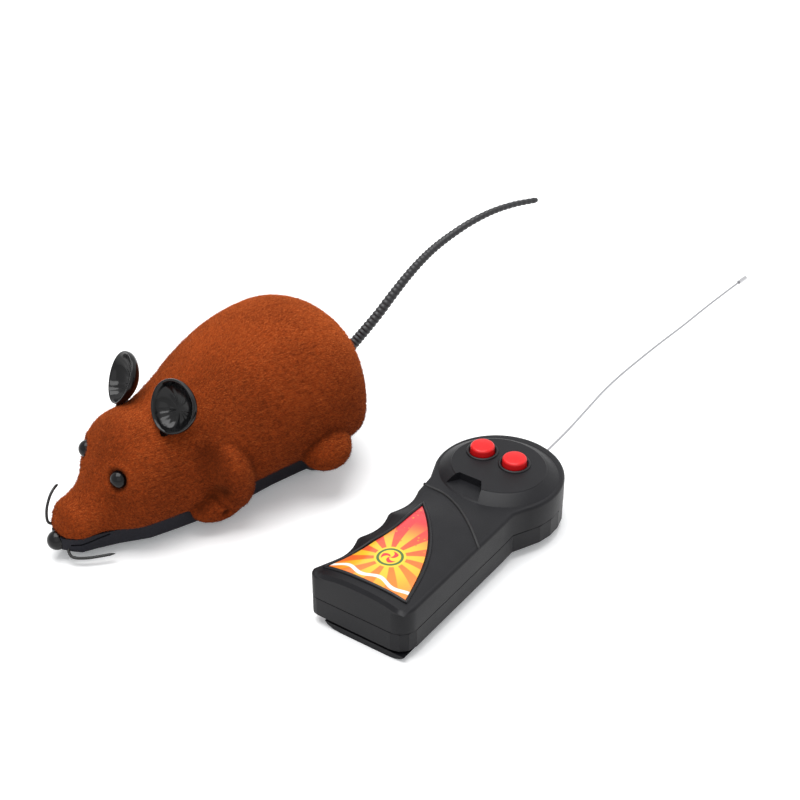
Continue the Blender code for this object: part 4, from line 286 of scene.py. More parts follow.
LABEL_THICKNESS = 0.0004
STEM_LENGTH = 0.0028
STEM_RADIUS = 0.0020
BUTTON_FLANGE = 0.0008
BUTTON_EDGE = 0.0009
BUTTON_CROWN = 0.0003
COLLAR_OFFSET = 0.0006
COLLAR_RADIUS = 0.00055
COLLAR_STEPS = 72
HOLE_OVERRUN = 0.0005
PILOT_RADIUS = 0.0012
AERIAL_BORE_RADIUS = 0.0007
UPWARDS = Vector((0.0, 0.0, 1.0))
BUTTON_BACK = 0.0828
BUTTON_SPACING = 0.0129
BUTTON_OFFSET = 0.0012
BUTTON_RADIUS = 0.0042
BUTTON_ROOM = 0.0003
CUT_OVERRUN = 0.001
AERIAL_SIDE = -0.0042
AERIAL_HEIGHT = 0.0134
AERIAL_BOSS_RADIUS = 0.0016
AERIAL_BOSS_LENGTH = 0.0042
SCREW_BACK = 0.0625
POST_RADIUS = 0.0024
POST_LOW = 0.0059
# The groove that parts the handle's grip from the neck, along and across
GROOVE_ROUTE = (
    (0.0594, 0.0158),
    (0.0589, 0.0144),
    (0.0582, 0.0072),
    (0.0548, -0.0002),
    (0.0486, -0.0086),
    (0.0411, -0.0178),
)
GROOVE_RADIUS = 0.0005
INNER_SHARES = (1.0, 0.94, 0.82, 0.68, 0.52, 0.36, 0.2, 0.08, 0.002)
BUTTON_PROUD = 0.0030
CASE_SHARP = math.radians(32)
AERIAL_RADIUS = 0.0004
AERIAL_ROOT = 0.0952
AERIAL_REACH = 0.1730
AERIAL_RISE = 0.0037
AERIAL_SHARES = (
    (0.000, 0.00),
    (0.055, 0.02),
    (0.145, 0.16),
    (0.235, 0.62),
    (0.290, 0.92),
    (0.355, 1.00),
    (0.430, 0.84),
    (0.547, 0.43),
    (0.670, -0.14),
    (0.798, -0.60),
    (0.930, -1.20),
    (1.000, -1.60),
)


def on_mouse(along, across, up):
    """A place on the mouse, from the tip of its snout."""
    return MOUSE_ORIGIN + Vector((along, across, up))


def on_remote(along, across, up):
    """A place on the remote, from the middle of its handle's end."""
    cos, sin = math.cos(REMOTE_TURN), math.sin(REMOTE_TURN)
    return REMOTE_ORIGIN + Vector((along * cos - across * sin, along * sin + across * cos, up))


def eased(rows, place):
    """The values of a table at a place, on a smooth curve through its rows."""
    place = min(max(place, rows[0][0]), rows[-1][0])
    after = next(i for i, row in enumerate(rows) if i > 0 and place <= row[0])
    near, far = rows[after - 1], rows[after]
    before, beyond = rows[max(after - 2, 0)], rows[min(after + 1, len(rows) - 1)]
    step = far[0] - near[0]
    t = (place - near[0]) / step
    values = []
    for k in range(1, len(near)):
        start = (far[k] - before[k]) / (far[0] - before[0]) * step
        end = (beyond[k] - near[k]) / (beyond[0] - near[0]) * step
        rise = far[k] - near[k]
        values.append(near[k] + t * (start + t * (3 * rise - 2 * start - end + t * (start + end - 2 * rise))))
    return values


def smoothstep(value, low, high):
    t = min(max((value - low) / (high - low), 0.0), 1.0)
    return t * t * (3 - 2 * t)


class Signal:
    """A shader socket that can stand in a sum."""

    def __init__(self, finish, socket):
        self.finish = finish
        self.socket = socket

    def _math(self, operation, *values):
        return self.finish.add("ShaderNodeMath", {"operation": operation}, dict(enumerate(values)))

    def __add__(self, other):
        return self._math("ADD", self, other)

    __radd__ = __add__

    def __sub__(self, other):
        return self._math("SUBTRACT", self, other)

    def __rsub__(self, other):
        return self._math("SUBTRACT", other, self)

    def __mul__(self, other):
        return self._math("MULTIPLY", self, other)

    __rmul__ = __mul__

    def sine(self):
        return self._math("SINE", self)

    def within(self, low, high):
        """Runs smoothly from 0 at low to 1 at high."""
        settings = {"interpolation_type": "SMOOTHSTEP"}
        values = {"Value": self, "From Min": low, "From Max": high}
        return self.finish.add("ShaderNodeMapRange", settings, values)


class Finish:
    """A material whose colour, roughness and relief come from nodes."""

    def __init__(self, name, colour, roughness, metallic=0.0, **constants):
        self.material = bpy.data.materials.new(name)
        self.material.use_nodes = True
        self.tree = self.material.node_tree
        self.shader = self.tree.nodes["Principled BSDF"]
        self.material.diffuse_color = (*colour, 1.0)
        self.set("Base Color", (*colour, 1.0))
        self.set("Roughness", roughness)
        self.set("Metallic", metallic)
        for name, value in constants.items():
            self.set(name.replace("_", " "), value)

    def feed(self, socket, value):
        if isinstance(value, Signal):
            self.tree.links.new(value.socket, socket)
        else:
            socket.default_value = value

    def add(self, kind, settings=None, values=None, output=0):
        """One node: its settings come first, then the values or links of its sockets."""
        node = self.tree.nodes.new(kind)
        for name, value in (settings or {}).items():
            setattr(node, name, value)
        for name, value in (values or {}).items():
            self.feed(node.inputs[name], value)
        return Signal(self, node.outputs[output])

    def set(self, name, value):
        self.feed(self.shader.inputs[name], value)

    def where(self, scale=(1.0, 1.0, 1.0), turn=(0.0, 0.0, 0.0)):
        """The place on the object, stretched and turned for a pattern."""
        place = self.add("ShaderNodeTexCoord", output="Object")
        return self.add("ShaderNodeMapping", None, {"Vector": place, "Scale": scale, "Rotation": turn})

    def attribute(self, name):
        return self.add("ShaderNodeAttribute", {"attribute_name": name}, None, "Fac")

    def noise(self, where, scale, detail=2.0, roughness=0.5):
        values = {"Vector": where, "Scale": scale, "Detail": detail, "Roughness": roughness}
        return self.add("ShaderNodeTexNoise", None, values)

    def cells(self, where, scale):
        return self.add("ShaderNodeTexVoronoi", None, {"Vector": where, "Scale": scale})

    def mix(self, share, first, second):
        values = {0: share}
        for index, colour in ((6, first), (7, second)):
            values[index] = colour if isinstance(colour, Signal) else (*colour, 1.0)
        return self.add("ShaderNodeMix", {"data_type": "RGBA"}, values, 2)

    def relief(self, height, depth, strength=1.0):
        """A bump of the given depth in metres."""
        values = {"Height": height, "Distance": depth, "Strength": strength}
        self.set("Normal", self.add("ShaderNodeBump", None, values))
        return self


def toned(colour, share):
    """A colour made darker or lighter."""
    return tuple(share * part for part in colour)


def grained(name, colour, roughness, grain=0.0004, depth=0.00004, **constants):
    """Moulded plastic with a fine spark-eroded grain."""
    finish = Finish(name, colour, roughness, **constants)
    place = finish.where()
    fine = finish.noise(place, 1 / grain, 3.0, 0.6)
    broad = finish.noise(place, 0.05 / grain, 2.0)
    shade = (0.6 * fine + 0.4 * broad).within(0.3, 0.7)
    finish.set("Base Color", finish.mix(shade, toned(colour, 0.8), toned(colour, 1.35)))
    finish.set("Roughness", roughness - 0.06 + 0.12 * broad)
    return finish.relief(fine, depth)


def polished(name, colour, roughness, **constants):
    """Smooth moulding with faint flow marks."""
    finish = Finish(name, colour, roughness, **constants)
    place = finish.where()
    flow = finish.noise(place, 90.0, 3.0)
    finish.set("Roughness", roughness + 0.10 * flow.within(0.4, 0.8))
    finish.set("Base Color", finish.mix(flow, toned(colour, 0.85), colour))
    return finish.relief(flow, 0.00005)


def brushed(name, colour, roughness, stretch=(1.0, 12.0, 12.0)):
    """Drawn or turned metal with fine lines."""
    finish = Finish(name, colour, roughness, 1.0)
    lines = finish.noise(finish.where(stretch), 700.0, 4.0)
    finish.set("Roughness", roughness + 0.15 * (lines - 0.5))
    finish.set("Base Color", finish.mix(lines, toned(colour, 0.8), colour))
    return finish.relief(lines, 0.00001)


def flocked(name, dark, light, crease_shade):
    """Short flock: combed streaks, lighter patches, and painted shade in creases."""
    sheen = {"Sheen_Weight": 0.25, "Sheen_Roughness": 0.4, "Sheen_Tint": (1.0, 0.25, 0.06, 1.0)}
    finish = Finish(name, dark, 0.95, **sheen)
    finish.set("Specular IOR Level", 0.05)
    streaks = finish.noise(finish.where((500.0, 2600.0, 1900.0), COMB_TURN), 1.0, 3.0, 0.65)
    tufts = finish.noise(finish.where((1.0, 1.6, 1.3)), 800.0, 4.0, 0.7)
    patches = finish.noise(finish.where(), 55.0, 3.0)
    shade = 0.4 * streaks + 0.35 * tufts + 0.25 * patches
    colour = finish.mix(shade.within(0.38, 0.64), dark, light)
    # Painted shade: the skin is drawn towards the crease colour in folds and eye sockets
    fold_shade = finish.attribute("crease_shade")
    finish.set("Base Color", finish.mix(fold_shade, colour, crease_shade))
    return finish.relief(0.6 * streaks + 0.8 * tufts, 0.0007, 0.8)


def plain_mesh(bm):
    mesh = bpy.data.meshes.new("shape")
    bm.to_mesh(mesh)
    bm.free()
    return mesh


def finished_mesh(bm, sharp=SMOOTH_ANGLE):
    """A mesh from a bmesh, smooth but for its sharp edges."""
    mesh = plain_mesh(bm)
    mesh.shade_smooth()
    mesh.set_sharp_from_angle(angle=sharp)
    return mesh


def show(name, mesh, finish, body, node=None):
    """Puts a finished mesh in the scene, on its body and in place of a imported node."""
    obj = bpy.data.objects.new(name, mesh)
    bpy.context.scene.collection.objects.link(obj)
    mesh.name = name
    mesh.materials.clear()
    mesh.materials.append(finish.material)
    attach(obj, body)
    if node:
        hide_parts(node)


def egg(centre, radii, lean=0.0):
    """A ball with its poles along X, stretched to three radii and leant about Y."""
    bm = bmesh.new()
    bmesh.ops.create_uvsphere(bm, u_segments=EGG_SEGMENTS, v_segments=EGG_RINGS, radius=1.0)
    bmesh.ops.rotate(bm, cent=(0, 0, 0), matrix=Matrix.Rotation(HALF_TURN / 2, 3, "Y"), verts=bm.verts)
    bmesh.ops.scale(bm, vec=radii, verts=bm.verts)
    bmesh.ops.rotate(bm, cent=(0, 0, 0), matrix=Matrix.Rotation(lean, 3, "Y"), verts=bm.verts)
    bmesh.ops.translate(bm, vec=centre, verts=bm.verts)
    return bm


def outward(bm):
    bmesh.ops.remove_doubles(bm, verts=bm.verts, dist=MERGE_DISTANCE)
    bmesh.ops.recalc_face_normals(bm, faces=bm.faces)
    return bm


def gathered(*cages):
    """Several cages in one bmesh."""
    whole = bmesh.new()
    for cage in cages:
        mesh = plain_mesh(cage)
        whole.from_mesh(mesh)
        bpy.data.meshes.remove(mesh)
    return whole


def evaluated(obj):
    """The mesh that a helper object gives; the helper is removed."""
    bpy.context.scene.collection.objects.link(obj)
    graph = bpy.context.evaluated_depsgraph_get()
    mesh = bpy.data.meshes.new_from_object(obj.evaluated_get(graph))
    bpy.data.objects.remove(obj)
    return mesh


def modified(mesh, kind, **settings):
    """The mesh after one modifier."""
    obj = bpy.data.objects.new("work", mesh)
    modifier = obj.modifiers.new(kind, kind)
    for name, value in settings.items():
        setattr(modifier, name, value)
    return evaluated(obj)


def curve_points(route, count):
    """Points at even steps on a smooth curve through a route."""
    rows = [(k, *point) for k, point in enumerate(route)]
    last = len(route) - 1
    return [Vector(eased(rows, last * k / (count - 1))) for k in range(count)]


def tube(points, radii, sides=4):
    """A round rod along points, with its radius at each."""
    curve = bpy.data.curves.new("route", "CURVE")
    curve.dimensions = "3D"
    curve.bevel_depth = 1.0
    curve.bevel_resolution = sides
    curve.use_fill_caps = True
    spline = curve.splines.new("POLY")
    spline.points.add(len(points) - 1)
    for spot, place, radius in zip(spline.points, points, radii):
        spot.co = (*place, 1.0)
        spot.radius = radius
    return refined(evaluated(bpy.data.objects.new("route", curve)))


def fibre_finish(name, root, tip):
    """The fibres: each has its own shade, with painted crease shade and painted light from above in it, and
    is lighter at its tip.
    """
    sheen = {"Sheen_Weight": 0.15, "Sheen_Roughness": 0.5, "Sheen_Tint": (1.0, 0.3, 0.08, 1.0)}
    finish = Finish(name, root, 0.9, **sheen)
    finish.set("Specular IOR Level", 0.05)
    patches = finish.noise(finish.where(), 60.0, 2.0)
    streaks = finish.noise(finish.where((260.0, 1100.0, 900.0), COMB_TURN), 1.0, 3.0, 0.6)
    shade = finish.attribute("shade") + 0.5 * (patches - 0.5) + 1.2 * (streaks - 0.5)
    finish.set("Base Color", finish.mix(shade.within(0.0, 0.95), root, tip))
    return finish


def rubbery(name, colour, roughness=0.42):
    """Soft moulded rubber with a dull bloom."""
    finish = Finish(name, colour, roughness)
    place = finish.where()
    bloom = finish.noise(place, 160.0, 4.0, 0.6)
    specks = finish.noise(place, 2600.0, 2.0)
    finish.set("Base Color", finish.mix(bloom, toned(colour, 0.75), toned(colour, 1.5)))
    finish.set("Roughness", roughness + 0.15 * (bloom - 0.5))
    return finish.relief(specks, 0.00003)


def colour_property(name, description, default):
    """A colour that a user can change."""
    settings = {"subtype": "COLOR", "size": 3, "min": 0.0, "max": 1.0}
    return FloatVectorProperty(name=name, description=description, default=default, **settings)


def length_property(name, description, default):
    """A length that a user can change, in metres."""
    settings = {"min": 0.0, "precision": 5, "unit": "LENGTH"}
    return FloatProperty(name=name, description=description, default=default, **settings)


def angle_property(name, description, degrees):
    """An angle that a user can change."""
    return FloatProperty(name=name, description=description, default=math.radians(degrees), unit="ROTATION")


def level_property(name, description, default):
    """A strength that a user can change."""
    return FloatProperty(name=name, description=description, default=default, min=0.0)


class MouseLooks(bpy.types.PropertyGroup):
    """Sizes and colours of the mouse"""

    flock_dark: colour_property("Dark flock", "Flock in its darker streaks", (0.150, 0.024, 0.005))
    flock_light: colour_property("Light flock", "Flock in its lighter streaks", (0.360, 0.060, 0.011))
    # Colour of the painted shade in folds and sockets
    flock_painted_shade: colour_property("Painted crease shade", "Painted shade deep in folds and sockets", (0.045, 0.010, 0.003))
    flock_root: colour_property("Fibre root", "Fibres in their darker shades", (0.105, 0.016, 0.004))
    flock_tip: colour_property("Fibre tip", "Fibres in their lighter shades", (0.600, 0.130, 0.030))
    fibre_length: length_property("Fibre length", "Length of the longest fibres", 0.0010)
    fibre_width: length_property("Fibre width", "Width of a fibre at its root", 0.00013)
    fibre_count: IntProperty(name="Fibres", description="Number of fibres", default=90000, min=1)
    skin_thickness: length_property("Skin thickness", "Thickness of the flocked shell", 0.0012)
    ear_folds: length_property("Ear folds", "Depth of the folds inside the ears", 0.00022)
    gloss_colour: colour_property("Glossy black", "Nose, eyes, ears and whiskers", (0.002, 0.002, 0.0025))
    tail_colour: colour_property("Tail", "Rubber of the tail", (0.009, 0.009, 0.011))
    chassis_colour: colour_property("Chassis", "Moulded plastic under the mouse", (0.0136, 0.0136, 0.0187))


class RemoteLooks(bpy.types.PropertyGroup):
    """Colours of the remote control"""

    case_colour: colour_property("Case", "Moulded plastic of the case", (0.00605, 0.00605, 0.0077))
    button_colour: colour_property("Buttons", "The two buttons", (0.780, 0.010, 0.012))
    wire_colour: colour_property("Aerial", "Wire of the aerial", (0.42, 0.42, 0.44))
    label_red: colour_property("Label red", "Dark bands of the label", (0.700, 0.030, 0.040))
    label_orange: colour_property("Label orange", "Warm bands of the label", (0.900, 0.230, 0.020))
    label_yellow: colour_property("Label yellow", "Sun and rays of the label", (0.930, 0.620, 0.030))
    label_green: colour_property("Label green", "Ring of the label", (0.060, 0.150, 0.020))


class StageLooks(bpy.types.PropertyGroup):
    """The camera, the light and the floor"""

    lens: FloatProperty(
        name="Lens", description="Focal length of the camera", default=76.5, min=1.0, unit="CAMERA"
    )
    elevation: angle_property("Elevation", "Height of the camera above the floor", 34)
    azimuth: angle_property("Azimuth", "Way round to the camera", -37)
    distance: length_property("Distance", "From the camera to what it looks at", 0.65)
    floor_size: length_property("Floor size", "Side of the floor", 6.0)
    floor_colour: colour_property("Floor", "Floor as it lights the toy", (0.70, 0.70, 0.71))
    floor_seen: colour_property("Floor seen", "Floor as the camera sees it", (1.00, 1.00, 1.00))
    light_level: level_property("Light", "Strength of the lamps", 1.0)
    floor_glow: level_property("Glow", "Lift of the floor's shadow as the camera sees it", 0.20)
    sky_level: level_property("Sky", "Strength of the light from all round", 0.50)


def skinned(rings, looped=False):
    """A closed skin over rings of points: a grid rolled up round them, with its ends shut or joined."""
    around = len(rings[0])
    rows = len(rings) if looped else len(rings) - 1
    bm = bmesh.new()
    bmesh.ops.create_grid(bm, x_segments=around, y_segments=rows, size=1.0)
    bm.verts.ensure_lookup_table()
    for k, vert in enumerate(bm.verts):
        row, column = divmod(k, around + 1)
        vert.co = rings[row % len(rings)][column % around]
    bmesh.ops.remove_doubles(bm, verts=bm.verts, dist=MERGE_DISTANCE)
    if not looped:
        bmesh.ops.holes_fill(bm, edges=[edge for edge in bm.edges if edge.is_boundary], sides=0)
    bmesh.ops.recalc_face_normals(bm, faces=bm.faces)
    return bm


def combined(mesh, operation, *tools):
    """The mesh joined with tools, or cut by them."""
    for tool in tools:
        cutter = bpy.data.objects.new("tool", plain_mesh(tool))
        bpy.context.scene.collection.objects.link(cutter)
        mesh = modified(mesh, "BOOLEAN", operation=operation, solver="EXACT", object=cutter)
        bpy.data.objects.remove(cutter)
    return mesh


def refined(mesh, sharp=SMOOTH_ANGLE):
    """A mesh made by modifiers or curves, cleaned and shaded."""
    bm = bmesh.new()
    bm.from_mesh(mesh)
    return finished_mesh(outward(bm), sharp)


def turned(profile, foot, way=(0.0, 0.0, 1.0), sides=64):
    """A round piece: a profile of radii and heights turned about an axis."""
    axis = Vector(way).normalized()
    side = axis.orthogonal().normalized()
    other = axis.cross(side)
    rings = []
    for radius, height in profile:
        ring = []
        for k in range(sides):
            angle = FULL_TURN * k / sides
            spoke = side * math.cos(angle) + other * math.sin(angle)
            ring.append(Vector(foot) + axis * height + spoke * radius)
        rings.append(ring)
    return skinned(rings)


def rod(foot, way, radius, low, high, sides=64):
    """A plain round rod between two heights along a way."""
    return turned([(0.0, low), (radius, low), (radius, high), (0.0, high)], foot, way, sides)


def body_sizes(share):
    """Half width, top and underside of the body at a share of its length."""
    width, top, under = eased(SECTION_SHARES, share)
    return width * HALF_WIDTH, top * HEIGHT, under * HEIGHT


def signed_power(value, power):
    return math.copysign(abs(value) ** power, value)


def body_point(share, angle, size=1.0):
    """A point of the body's skin, with its section drawn in to a size."""
    half, top, under = body_sizes(share)
    waist = under + (top - under) * WAIST_SHARE
    across = half * size * signed_power(math.cos(angle), 2 / ROUNDNESS)
    rise = signed_power(math.sin(angle), 2 / ROUNDNESS)
    reach = top - waist if rise > 0 else waist - under
    return on_mouse(share * LENGTH, across, waist + size * reach * rise)


def edge_height(along):
    """Height of the seam between the flocked shell and the chassis."""
    return EDGE_FRONT + (EDGE_REAR - EDGE_FRONT) * along / LENGTH


def chassis_half_width(along):
    half, top, under = body_sizes(along / LENGTH)
    waist = under + (top - under) * WAIST_SHARE
    rise = min(abs(edge_height(along) - waist) / (waist - under), 1.0)
    return half * (1 - rise**ROUNDNESS) ** (1 / ROUNDNESS) - CHASSIS_INSET


def body_cage():
    """The body above its seam, with domed ends."""
    rings = []
    for k in range(BODY_RINGS + 1):
        turn = HALF_TURN * k / BODY_RINGS
        share = FRONT_SHARE + (1 - FRONT_SHARE) * (1 - math.cos(turn)) / 2
        short = 1 - min(math.sin(turn) / DOME_SHARE, 1.0)
        size = max(math.sqrt(1 - short * short), 0.001)
        rings.append([body_point(share, FULL_TURN * n / BODY_SIDES, size) for n in range(BODY_SIDES)])
    bm = skinned(rings)
    foot = on_mouse(0.0, 0.0, EDGE_FRONT)
    normal = Vector((EDGE_REAR - EDGE_FRONT, 0.0, -LENGTH)).normalized()
    geometry = list(bm.verts) + list(bm.edges) + list(bm.faces)
    bmesh.ops.bisect_plane(bm, geom=geometry, plane_co=foot, plane_no=normal, clear_outer=True)
    bmesh.ops.holes_fill(bm, edges=[edge for edge in bm.edges if edge.is_boundary], sides=0)
    return outward(bm)


def at_shares(shares, side):
    """A place on one side of the mouse, at shares of its length, half its width and its height."""
    along, out, up = shares
    return on_mouse(along * LENGTH, side * out * HALF_WIDTH, up * HEIGHT)


def limb(place_shares, size_shares, side, lean=0.0):
    radii = [share * size for share, size in zip(size_shares, (LENGTH, HALF_WIDTH, HEIGHT))]
    return egg(at_shares(place_shares, side), radii, lean)


def places(mesh):
    """The mesh's vertices as rows of numbers."""
    values = np.empty(3 * len(mesh.vertices), dtype=np.float32)
    mesh.vertices.foreach_get("co", values)
    return values.reshape(-1, 3).astype(np.float64)


def headings(mesh):
    """The ways that the mesh's vertices face."""
    values = np.empty(3 * len(mesh.vertices), dtype=np.float32)
    mesh.vertex_normals.foreach_get("vector", values)
    return values.reshape(-1, 3).astype(np.float64)


def hump(distance, centre, width):
    """A round hump over a distance: 1 at its centre and 0 from width away."""
    share = np.clip(np.abs(distance - centre) / width, 0.0, 1.0)
    return (1 - share * share) ** 2


def softened(mesh, times):
    return modified(mesh, "SMOOTH", factor=0.5, iterations=times)


def from_course(spots, course):
    """How far each spot lies from a course of places along and up the mouse."""
    flat = (spots - np.array(MOUSE_ORIGIN))[:, (0, 2)]
    knots = [np.array((along * LENGTH, up * HEIGHT)) for along, up in course]
    nearest = np.full(len(flat), np.inf)
    for start, end in zip(knots, knots[1:]):
        way = end - start
        share = np.clip((flat - start) @ way / (way @ way), 0.0, 1.0)
        nearest = np.minimum(nearest, np.linalg.norm(flat - start - share[:, None] * way, axis=1))
    return nearest


def flock_skin():
    """The flocked skin: body and limbs in one, with sockets, folds and a mark of painted shade that grows
    with how deep each is.
    """
    cages = [body_cage()]
    for side in (-1, 1):
        cages.append(limb(ARM_PLACE_SHARES, ARM_SIZE_SHARES, side, ARM_LEAN))
        cages.append(limb(PAW_PLACE_SHARES, PAW_SIZE_SHARES, side))
        cages.append(limb(FOOT_PLACE_SHARES, FOOT_SIZE_SHARES, side))
    cage = plain_mesh(gathered(*cages))
    mesh = modified(cage, "REMESH", mode="VOXEL", voxel_size=SKIN_GRAIN, use_smooth_shade=True)
    mesh = softened(mesh, BLEND_STEPS)
    spots, ways = places(mesh), headings(mesh)
    folds = ((places(softened(mesh, FOLD_STEPS)) - spots) * ways).sum(axis=1)
    # Painted shade: a mark that darkens the flock where the skin is hollow, round the eye sockets and along
    # the folds
    crease_shade = np.clip(folds / FOLD_DEPTH, 0.0, 1.0)
    lift = np.zeros(len(spots))
    for side in (-1, 1):
        away = np.linalg.norm(spots - np.array(at_shares(EYE_SHARES, side)), axis=1)
        lift += LID_HEIGHT * hump(away, LID_REACH, LID_REACH - EYE_RADIUS)
        lift -= SOCKET_DEPTH * hump(away, EYE_RADIUS, SOCKET_REACH)
        crease_shade = np.maximum(crease_shade, 0.9 * hump(away, EYE_RADIUS, SOCKET_REACH * 0.8))
    outer = np.clip(np.abs(spots[:, 1] - MOUSE_ORIGIN.y) / (FOLD_OUT_SHARE * HALF_WIDTH) - 1, 0.0, 1.0)
    for reach, depth, shadow, *course in FOLDS:
        groove = hump(from_course(spots, course), 0.0, reach) * outer
        lift -= depth * groove
        crease_shade = np.maximum(crease_shade, shadow * groove)
    spots += ways * lift[:, None]
    mesh.vertices.foreach_set("co", spots.astype(np.float32).ravel())
    mark = mesh.attributes.new("crease_shade", "FLOAT", "POINT")
    mark.data.foreach_set("value", crease_shade.astype(np.float32))
    mesh.update()
    return mesh


def open_below(mesh):
    """Takes away the floor of the skin, so that it stands over the chassis as a thin shell."""
    bm = bmesh.new()
    bm.from_mesh(mesh)
    hidden = []
    for face in bm.faces:
        spot = face.calc_center_median() - MOUSE_ORIGIN
        inside = abs(spot.y) < chassis_half_width(spot.x) - HIDDEN_MARGIN and spot.x > HIDDEN_MARGIN
        if inside and spot.z < edge_height(spot.x) + HIDDEN_MARGIN:
            hidden.append(face)
    bmesh.ops.delete(bm, geom=hidden, context="FACES")
    for vert in bm.verts:
        spot = vert.co - MOUSE_ORIGIN
        if abs(spot.x) < NOSE_RADIUS and spot.z < edge_height(0.0) + HIDDEN_MARGIN:
            vert.co.x = max(vert.co.x, MOUSE_ORIGIN.x + HIDDEN_MARGIN)
    bmesh.ops.recalc_face_normals(bm, faces=bm.faces)
    return plain_mesh(bm)


def flock_fibres(mesh, looks):
    """Short fibres over the skin, combed towards the tail, each one a sliver with its own shade: a random
    tone, with painted crease shade and painted light from above.
    """
    spots, ways = places(mesh), headings(mesh)
    mesh.calc_loop_triangles()
    corners = np.empty(3 * len(mesh.loop_triangles), dtype=np.int32)
    mesh.loop_triangles.foreach_get("vertices", corners)
    corners = corners.reshape(-1, 3)
    edges = spots[corners[:, 1]] - spots[corners[:, 0]], spots[corners[:, 2]] - spots[corners[:, 0]]
    areas = np.linalg.norm(np.cross(*edges), axis=1)
    # The skin's painted crease shade: fibres grow thinner in hollows
    crease_shade_marks = np.empty(len(mesh.vertices), dtype=np.float32)
    mesh.attributes["crease_shade"].data.foreach_get("value", crease_shade_marks)
    areas *= 1.01 - crease_shade_marks[corners].mean(axis=1)
    chance = np.random.default_rng(FIBRE_SEED)
    count = looks.fibre_count
    chosen = corners[chance.choice(len(corners), count, p=areas / areas.sum())]
    shares = chance.dirichlet((1.0, 1.0, 1.0), count)
    roots = (spots[chosen] * shares[:, :, None]).sum(axis=1)
    facing = (ways[chosen] * shares[:, :, None]).sum(axis=1)
    facing /= np.linalg.norm(facing, axis=1)[:, None]
    combed = np.array((1.0, 0.0, -0.35)) - facing * (facing @ np.array((1.0, 0.0, -0.35)))[:, None]
    lie = facing * 0.55 + combed * 1.0 + chance.normal(0.0, 0.28, (count, 3))
    lie /= np.linalg.norm(lie, axis=1)[:, None]
    lengths = looks.fibre_length * chance.uniform(0.5, 1.0, count)[:, None]
    across = np.cross(lie, facing)
    across /= np.linalg.norm(across, axis=1)[:, None]
    half = looks.fibre_width / 2
    tips = roots + lie * lengths
    corners = np.stack((roots - across * half, roots + across * half, tips), axis=1).reshape(-1, 3)
    fibres = bpy.data.meshes.new("flock_fibres")
    fibres.vertices.add(3 * count)
    fibres.loops.add(3 * count)
    fibres.polygons.add(count)
    fibres.vertices.foreach_set("co", corners.astype(np.float32).ravel())
    fibres.loops.foreach_set("vertex_index", np.arange(3 * count, dtype=np.int32))
    fibres.polygons.foreach_set("loop_start", np.arange(0, 3 * count, 3, dtype=np.int32))
    fibres.update(calc_edges=True)
    shade = fibres.attributes.new("shade", "FLOAT", "POINT")
    # Painted shade: each fibre is darkened by the crease mark where it grows; the rest of its shade is a
    # random tone
    own = chance.uniform(0.0, 0.55, count) - (crease_shade_marks[chosen] * shares).sum(axis=1)
    # Painted light: fibres that face up are made lighter, those that face sideways darker
    own += PAINTED_TOP_LIGHT * (facing[:, 2] - PAINTED_LIGHT_LEVEL)
    values = np.stack((own, own, own + 0.4), axis=1)
    shade.data.foreach_set("value", values.astype(np.float32).ravel())
    return fibres


def ear_axes(side):
    """The ear's foot, and its ways across, up and out of the cup."""
    foot = at_shares(EAR_LEFT_SHARES if side < 0 else EAR_RIGHT_SHARES, side)
    front = Vector((EAR_FACING[0], EAR_FACING[1] * side, EAR_FACING[2])).normalized()
    lean = Vector((0.0, EAR_SPREAD * side, 1.0))
    rise = (lean - front * lean.dot(front)).normalized()
    return foot, rise.cross(front), rise, front


def ear_fold(angle):
    """How far a fold stands in at an angle round the cup: uneven waves that fade towards the top."""
    waves = math.sin(13 * angle + 2.2 * math.sin(3 * angle)) * (0.55 + 0.45 * math.sin(5 * angle + 1))
    return waves * (0.35 + 0.65 * smoothstep(-math.sin(angle), -0.6, 0.5))


def ear_cup(side, folds):
    """A moulded cup with a rolled rim and fine folds that run down to its foot."""
    foot, across, rise, front = ear_axes(side)
    rows = [(k, *row) for k, row in enumerate(EAR_ROWS)]
    rings = []
    for n in range(EAR_RINGS + 1):
        place = (len(rows) - 1) * n / EAR_RINGS
        size, cup, wall = eased(rows, place)
        size = max(size, 0.002)
        depth = cup * EAR_DEPTH + wall * EAR_WALL
        inside = smoothstep(place, EAR_RIM_ROW + 1.2, EAR_RIM_ROW + 2.2) * smoothstep(size, 0.05, 0.35)
        ring = []
        for k in range(EAR_SIDES):
            angle = FULL_TURN * k / EAR_SIDES
            wide = math.cos(angle) * (1 + EAR_EGG * math.sin(angle))
            high = 1 + size * math.sin(angle) - (1 - size) * EAR_LOW
            sunk = depth - folds * ear_fold(angle) * inside
            spot = across * (size * EAR_WIDTH / 2 * wide) + rise * (EAR_HEIGHT / 2 * high)
            ring.append(foot + spot - front * sunk)
        rings.append(ring)
    return skinned(rings)


def ear_peg(side):
    """The peg below an ear, and the bead behind it where cup and peg meet."""
    foot, _, rise, front = ear_axes(side)
    down = -(rise * EAR_PEG_SLANT[0] + front * EAR_PEG_SLANT[1]).normalized()
    start = foot + rise * EAR_PEG_RADIUS - front * (EAR_DEPTH * 0.7)
    peg = rod(start, down, EAR_PEG_RADIUS, 0.0, EAR_PEG_LENGTH + EAR_PEG_RADIUS, PEG_SIDES)
    middle = foot + rise * (0.1 * EAR_NECK) - front * (1.5 * EAR_NECK)
    return peg, egg(middle, [EAR_NECK] * 3)


def whisker_route(shares, side):
    return [on_mouse(along * LENGTH, side * out * HALF_WIDTH, up * EDGE_FRONT) for along, out, up in shares]


